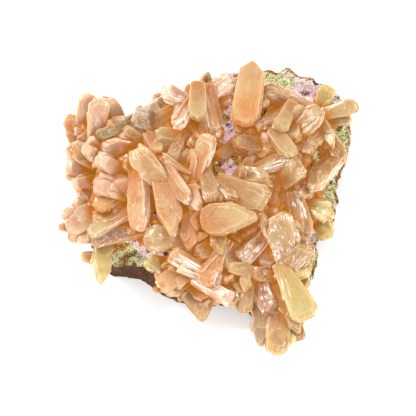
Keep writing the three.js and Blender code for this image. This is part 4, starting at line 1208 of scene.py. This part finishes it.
def relief_group():
    """Fine grain laid on a height, as a value and as a normal, for every material."""
    inputs = dict.fromkeys(("Scale", "Height", "Amount", "Strength", "Distance"), "Float")
    tree, given = new_group("fine relief", "ShaderNodeTree", {"Place": "Vector", **inputs},
                            {"Grain": "Float", "Normal": "Vector"})
    grain = noise_of(tree, given["Place"], given["Scale"], 3, 0.6)
    height = scaled(tree, grain, given["Amount"], given["Height"])
    bump = new_node(tree, "ShaderNodeBump", {
        "Height": height, "Strength": given["Strength"], "Distance": given["Distance"]})
    new_node(tree, "NodeGroupOutput", {"Grain": grain, "Normal": bump.outputs[0]})
    return tree


def patches_of(tree, place, scale, start, end):
    return new_node(tree, "ShaderNodeGroup", {"Place": place, "Scale": scale, "From": start, "To": end},
                    node_tree=PATCHES).outputs["Mask"]


def relief_of(tree, shader, place, scale, height, amount, strength, distance):
    """Puts the fine relief on the material and gives its grain."""
    made = new_node(tree, "ShaderNodeGroup", {
        "Place": place, "Scale": scale, "Height": height, "Amount": amount, "Strength": strength,
        "Distance": distance}, node_tree=RELIEF)
    tree.links.new(made.outputs["Normal"], shader.inputs["Normal"])
    return made.outputs["Grain"]


def felt_nodes():
    """Geometry Nodes that stand small needles on the open parts of a surface."""
    inputs = {"Surface": "Geometry", "Density": "Float", "Length": "Float", "Radius": "Float",
              "Tilt": "Float", "Seed": "Int", "Material": "Material"}
    tree, given = new_group("needle felt", "GeometryNodeTree", inputs, {"Felt": "Geometry"})
    bare, brim = (new_node(tree, "GeometryNodeInputNamedAttribute", {"Name": name},
                           data_type="FLOAT").outputs["Attribute"] for name in ("open", "brim"))
    bare = sums(tree, "SUBTRACT", bare, scaled(tree, brim, 2.0), clamp=True)
    spots = new_node(tree, "GeometryNodeDistributePointsOnFaces", {
        "Mesh": given["Surface"], "Density": scaled(tree, bare, given["Density"]), "Seed": given["Seed"]})
    cone = new_node(tree, "GeometryNodeMeshCone", {
        "Vertices": 4, "Radius Top": 0.0, "Radius Bottom": given["Radius"], "Depth": given["Length"]})
    most = new_node(tree, "ShaderNodeCombineXYZ", {0: given["Tilt"], 1: given["Tilt"], 2: math.pi}).outputs[0]
    least = new_node(tree, "ShaderNodeVectorMath", {0: most, "Scale": -1.0}, operation="SCALE").outputs[0]
    lean = new_node(tree, "FunctionNodeRandomValue", {0: least, 1: most, "Seed": given["Seed"]},
                    data_type="FLOAT_VECTOR")
    turn = new_node(tree, "FunctionNodeEulerToRotation", {0: lean.outputs[0]}).outputs[0]
    stand = new_node(tree, "FunctionNodeRotateRotation", {
        "Rotation": spots.outputs["Rotation"], "Rotate By": turn}, rotation_space="LOCAL")
    size = new_node(tree, "FunctionNodeRandomValue", {2: 0.4, 3: 1.3, "Seed": given["Seed"]},
                    data_type="FLOAT")
    needles = new_node(tree, "GeometryNodeInstanceOnPoints", {
        "Points": spots.outputs["Points"], "Instance": cone.outputs["Mesh"], "Rotation": stand.outputs[0],
        "Scale": size.outputs[1]})
    solid = new_node(tree, "GeometryNodeRealizeInstances", {0: needles.outputs[0]}).outputs[0]
    marked = new_node(tree, "GeometryNodeStoreNamedAttribute", {
        "Geometry": solid, "Name": "needle", "Value": 1.0}, data_type="FLOAT", domain="POINT")
    both = new_node(tree, "GeometryNodeJoinGeometry")
    tree.links.new(given["Surface"], both.inputs[0])
    tree.links.new(marked.outputs[0], both.inputs[0])
    coloured = new_node(tree, "GeometryNodeSetMaterial", {
        "Geometry": both.outputs[0], "Material": given["Material"]})
    new_node(tree, "NodeGroupOutput", {"Felt": coloured.outputs[0]})
    return tree


def grow_felt(thing, material):
    """Turns the crust into a plain mesh with its needles on it."""
    tree = felt_nodes()
    felt = thing.modifiers.new("felt", "NODES")
    felt.node_group = tree
    values = {"Density": NEEDLE_DENSITY / MM ** 2, "Length": NEEDLE_LENGTH * MM, "Radius": NEEDLE_RADIUS * MM,
              "Tilt": NEEDLE_TILT, "Seed": SEED, "Material": material}
    for socket in tree.interface.items_tree:
        if socket.in_out == "INPUT" and socket.name in values:
            felt[socket.identifier] = values[socket.name]
    graph = bpy.context.evaluated_depsgraph_get()
    evaluated = thing.evaluated_get(graph)
    mesh = bpy.data.meshes.new_from_object(evaluated, preserve_all_data_layers=True, depsgraph=graph)
    thing.modifiers.clear()
    thing.data = mesh


# Materials
def new_material(name, inputs):
    """A material whose shader has those constant values."""
    material = bpy.data.materials.new(name)
    material.use_nodes = True
    tree = material.node_tree
    tree.nodes.clear()
    shader = new_node(tree, "ShaderNodeBsdfPrincipled", inputs)
    new_node(tree, "ShaderNodeOutputMaterial", {0: shader.outputs[0]})
    return material, tree, shader


def stilbite_tone(tree, spot, grain, share, edge, patchy, inner):
    """From the root's tone to the tip's, unevenly, with milky flecks, and with painted light that makes the
    edges paler.
    """
    root = attribute(tree, "root_tint", "Color")
    colour = blend(tree, steps(tree, share, 0.05, 0.85), root, attribute(tree, "tip_tint", "Color"))
    colour = wash(tree, colour, steps(tree, share, 0.4, -0.1), 0.5, (206, 112, 30))
    colour = blend(tree, scaled(tree, steps(tree, inner, 0.44, 0.66), 0.75), colour, root)
    flecks = streaks_of(tree, grain, 2.6, 0.7, 0.6)
    colour = wash(tree, colour, steps(tree, flecks, 0.52, 0.64), 0.38, (252, 220, 172))
    # Painted light: paler edges, for light that shows through the thin edges and catches them
    return wash(tree, colour, edge, 0.4, (250, 219, 174))


def stilbite_material():
    """Milky crystals, with painted highlights as pearly stripes on the narrow sides and glitter on the broad
    faces, and painted shade and painted emission between them.
    """
    material, tree, shader = new_material("stilbite", {
        "Emission Strength": 1.0, "Subsurface Weight": 0.9, "Subsurface Radius": (1.0, 0.65, 0.35),
        "Subsurface Scale": 0.004, "Specular IOR Level": 0.25, "Coat Roughness": 0.13})
    spot = object_place(tree)
    grain, place = (new_node(tree, "ShaderNodeUVMap", uv_map=name).outputs[0] for name in ("grain", "place"))
    share, sideness, _ = parts_of(tree, place)
    pearl_highlight, painted_glint_amount, edge = parts_of(tree, attribute(tree, "painted_highlight_amounts", "Vector"))
    patchy = noise_of(tree, spot, 160, 3, 0.6)
    inner = noise_of(tree, spot, 190, 1)
    share = sums(tree, "ADD", share, scaled(tree, patchy, 0.7, -0.35))
    colour = stilbite_tone(tree, spot, grain, share, edge, patchy, inner)

    # Stripes along the length, from the plates' edges: darker ones, and pale ones that are partly the
    # crystal's own streaks and partly painted pearly highlights, strongest on the narrow sides
    stripes = streaks_of(tree, grain, 2.1, 0.11, 0.65)
    side_pearl_highlight = scaled(tree, sideness, pearl_highlight)
    striped = sums(tree, "MAXIMUM", sideness, patches_of(tree, spot, 150, 0.62, 0.4))
    pale_stripe_highlight = scaled(tree, steps(tree, scaled(tree, side_pearl_highlight, 0.06, stripes), 0.53, 0.61), striped)
    dark_stripe = scaled(tree, steps(tree, stripes, 0.5, 0.34), striped)
    dark_share = scaled(tree, dark_stripe, scaled(tree, sideness, 0.35, 0.08))
    pale_share = scaled(tree, pale_stripe_highlight, scaled(tree, side_pearl_highlight, 0.9, 0.2), clamp=True)
    colour = wash(tree, colour, dark_share, 1.0, (206, 126, 56))
    colour = wash(tree, colour, pale_share, 1.0, (255, 240, 220))
    # Painted highlights: thin white lines along the edges of crystals with pearly highlights
    edge_highlight_line = scaled(tree, steps(tree, edge, 0.5, 0.9), steps(tree, stripes, 0.4, 0.52))
    edge_highlight_line = scaled(tree, edge_highlight_line, scaled(tree, pearl_highlight, steps(tree, inner, 0.6, 0.4)), clamp=True)
    colour = wash(tree, colour, edge_highlight_line, 0.75, (255, 246, 228))

    # Painted highlights: glitter from small cleavage steps that catch the light, in patches and more near the
    # tips
    streaks = scaled(tree, painted_glint_amount, 0.05, streaks_of(tree, grain, 3.2, 0.5))
    amount = scaled(tree, steps(tree, share, 0.6, 1.0), 0.4, painted_glint_amount)
    amount = scaled(tree, patches_of(tree, spot, 300, 0.48, 0.66), amount)
    painted_glint = scaled(tree, steps(tree, streaks, 0.54, 0.63), amount, clamp=True)
    colour = wash(tree, colour, painted_glint, 0.85, (255, 248, 238))

    # Painted shade and light: deep between the crystals the colour is painted a stronger orange, and a painted
    # emission, faint everywhere and strong there, stands for light that came through them.
    cleft = sums(tree, "SUBTRACT", attribute(tree, "cleft"), 0.15)
    depth = steps(tree, scaled(tree, patchy, 0.3, cleft), 0.0, 0.6)
    colour = wash(tree, colour, depth, 0.9, (204, 120, 26))
    painted_glow = blend(tree, depth, (0.045, 0.022, 0.008, 1), (0.2, 0.078, 0.007, 1))
    # The brightest painted highlights, glitter and pearly stripes, are made to emit light too
    bright = scaled(tree, painted_glint, 0.3, scaled(tree, scaled(tree, pale_stripe_highlight, side_pearl_highlight), 0.4))
    painted_glow = blend(tree, bright, painted_glow, (1.0, 0.9, 0.82, 1))

    fine = relief_of(tree, shader, spot, 900, stripes, 0.3, 0.35, 0.00025)
    rough = sums(tree, "SUBTRACT", scaled(tree, fine, 0.2, 0.26), scaled(tree, painted_glint, 0.15))
    tree.links.new(colour, shader.inputs["Base Color"])
    tree.links.new(painted_glow, shader.inputs["Emission Color"])
    tree.links.new(rough, shader.inputs["Roughness"])
    tree.links.new(scaled(tree, painted_glint, 0.5, 0.36), shader.inputs["Coat Weight"])
    return material


def mordenite_material():
    """White to pale pink felt with dark pits, stained olive and rust, with a painted emission that lights it,
    most in the clefts.
    """
    material, tree, shader = new_material("mordenite", {
        "Emission Strength": 1.0, "Roughness": 0.85, "Specular IOR Level": 0.15})
    spot = object_place(tree)
    olive, brown, pit = parts_of(tree, attribute(tree, "stains", "Vector"))
    fine = relief_of(tree, shader, spot, 1500, 0.0, 1.0, 0.7, 0.0005)
    pit = sums(tree, "ADD", pit, scaled(tree, fine, 2.9, -1.44))
    pit = scaled(tree, attribute(tree, "needle"), -0.45, pit)
    colour = wash(tree, paint((280, 264, 254)), patches_of(tree, spot, 170, 0.4, 0.6), 1.0, (272, 236, 242))
    colour = wash(tree, colour, steps(tree, pit, 0.1, 0.4), 0.5, (214, 166, 162))
    colour = wash(tree, colour, steps(tree, pit, 0.38, 0.62), 1.0, (116, 66, 58))
    green = wash(tree, paint((272, 270, 220)), steps(tree, pit, 0.05, 0.3), 1.0, (244, 236, 166))
    green = wash(tree, green, steps(tree, pit, 0.25, 0.5), 1.0, (132, 116, 60))
    rust = wash(tree, paint((230, 180, 94)), steps(tree, pit, -0.05, 0.2), 1.0, (194, 136, 60))
    rust = wash(tree, rust, steps(tree, pit, 0.15, 0.45), 1.0, (108, 66, 30))
    colour = blend(tree, steps(tree, olive, 0.15, 0.75), colour, green)
    colour = blend(tree, steps(tree, brown, 0.25, 0.8), colour, rust)
    # Painted light: the crust emits its own colour, faintly everywhere and more deep in the clefts
    painted_glow = blend(tree, scaled(tree, attribute(tree, "cleft"), 0.6, 0.1), (0, 0, 0, 1), colour)
    tree.links.new(colour, shader.inputs["Base Color"])
    tree.links.new(painted_glow, shader.inputs["Emission Color"])
    return material


def basalt_material():
    """Dark brown stone with darker patches and pale grains."""
    material, tree, shader = new_material("basalt", {"Roughness": 0.8, "Specular IOR Level": 0.2})
    spot = object_place(tree)
    fine = relief_of(tree, shader, spot, 700, 0.0, 1.0, 0.9, 0.0009)
    colour = wash(tree, paint((96, 58, 36)), patches_of(tree, spot, 190, 0.3, 0.72), 1.0, (136, 88, 58))
    colour = wash(tree, colour, patches_of(tree, spot, 620, 0.52, 0.64), 0.6, (70, 40, 26))
    colour = wash(tree, colour, steps(tree, fine, 0.62, 0.74), 0.6, (150, 124, 98))
    tree.links.new(colour, shader.inputs["Base Color"])
    return material


def put(thing, material, node):
    """Gives a piece its material, and its place in the frame."""
    thing.data.materials.clear()
    thing.data.materials.append(material)
    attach(thing, "root")
    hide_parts(node)


PATCHES = patches_group()
RELIEF = relief_group()
stilbite = stilbite_material()
crust = build_crust()
stone = build_stone()
groups = build_groups()
mark_clefts([*groups.values(), crust])
for name, thing in groups.items():
    put(thing, stilbite, "stilbite_" + name)
mordenite = mordenite_material()
grow_felt(crust, mordenite)
put(crust, mordenite, "mordenite_crust")
put(stone, basalt_material(), "basalt_matrix")

# A plain pale floor
FLOOR_SIZE = 3.0
floor_mesh = bpy.data.meshes.new("floor")
floor_corners = [(x * FLOOR_SIZE / 2, y * FLOOR_SIZE / 2, 0) for x, y in ((-1, -1), (1, -1), (1, 1), (-1, 1))]
floor_mesh.from_pydata(floor_corners, [], [(0, 1, 2, 3)])
floor = bpy.data.objects.new("floor", floor_mesh)
bpy.context.scene.collection.objects.link(floor)
floor_mesh.materials.append(new_material("floor", {"Base Color": (0.95, 0.95, 0.95, 1), "Roughness": 0.9})[0])
floor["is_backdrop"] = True

# Light: a bright room, a large soft light from the upper left, and low ones that graze the crystals
ROOM_LIGHT = 1.28
scene = bpy.context.scene
world = bpy.data.worlds.new("room")
world.use_nodes = True
world.node_tree.nodes["Background"].inputs[0].default_value = (1, 1, 1, 1)
world.node_tree.nodes["Background"].inputs[1].default_value = ROOM_LIGHT
scene.world = world
TARGET = Vector((-0.26, 0.76, 25)) * MM


def softbox(name, way, away, size, power):
    """A square light at that distance from the specimen, facing it."""
    data = bpy.data.lights.new(name, "AREA")
    data.size = size
    data.energy = power
    light = bpy.data.objects.new(name, data)
    way = Vector(way).normalized()
    light.location = TARGET + way * away
    light.rotation_euler = way.to_track_quat("Z", "Y").to_euler()
    scene.collection.objects.link(light)


softbox("main", (-0.75, 0.6, 0.75), 1.0, 0.25, 7.4)
softbox("right", (1.0, -0.1, 0.45), 0.9, 0.2, 3.4)
softbox("front", (-0.1, -1.0, 0.5), 0.9, 0.2, 2.8)

# The camera, far off with a long lens, at the picture's angle
LENS = 500
SENSOR = 36
camera_data = bpy.data.cameras.new("camera")
camera_data.lens = LENS
camera_data.sensor_width = SENSOR
camera_data.clip_end = 20
camera = bpy.data.objects.new("camera", camera_data)
sight = Vector((0, -math.sin(LEAN), math.cos(LEAN)))
camera.location = TARGET + sight * (PICTURE_PIXELS * MM_PER_PIXEL * MM * LENS / SENSOR)
camera.rotation_euler = sight.to_track_quat("Z", "Y").to_euler()
scene.collection.objects.link(camera)
scene.camera = camera
scene.view_settings.view_transform = "Standard"

lists = [[list(corner) for corner in box] for box in (cad_bounds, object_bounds())]
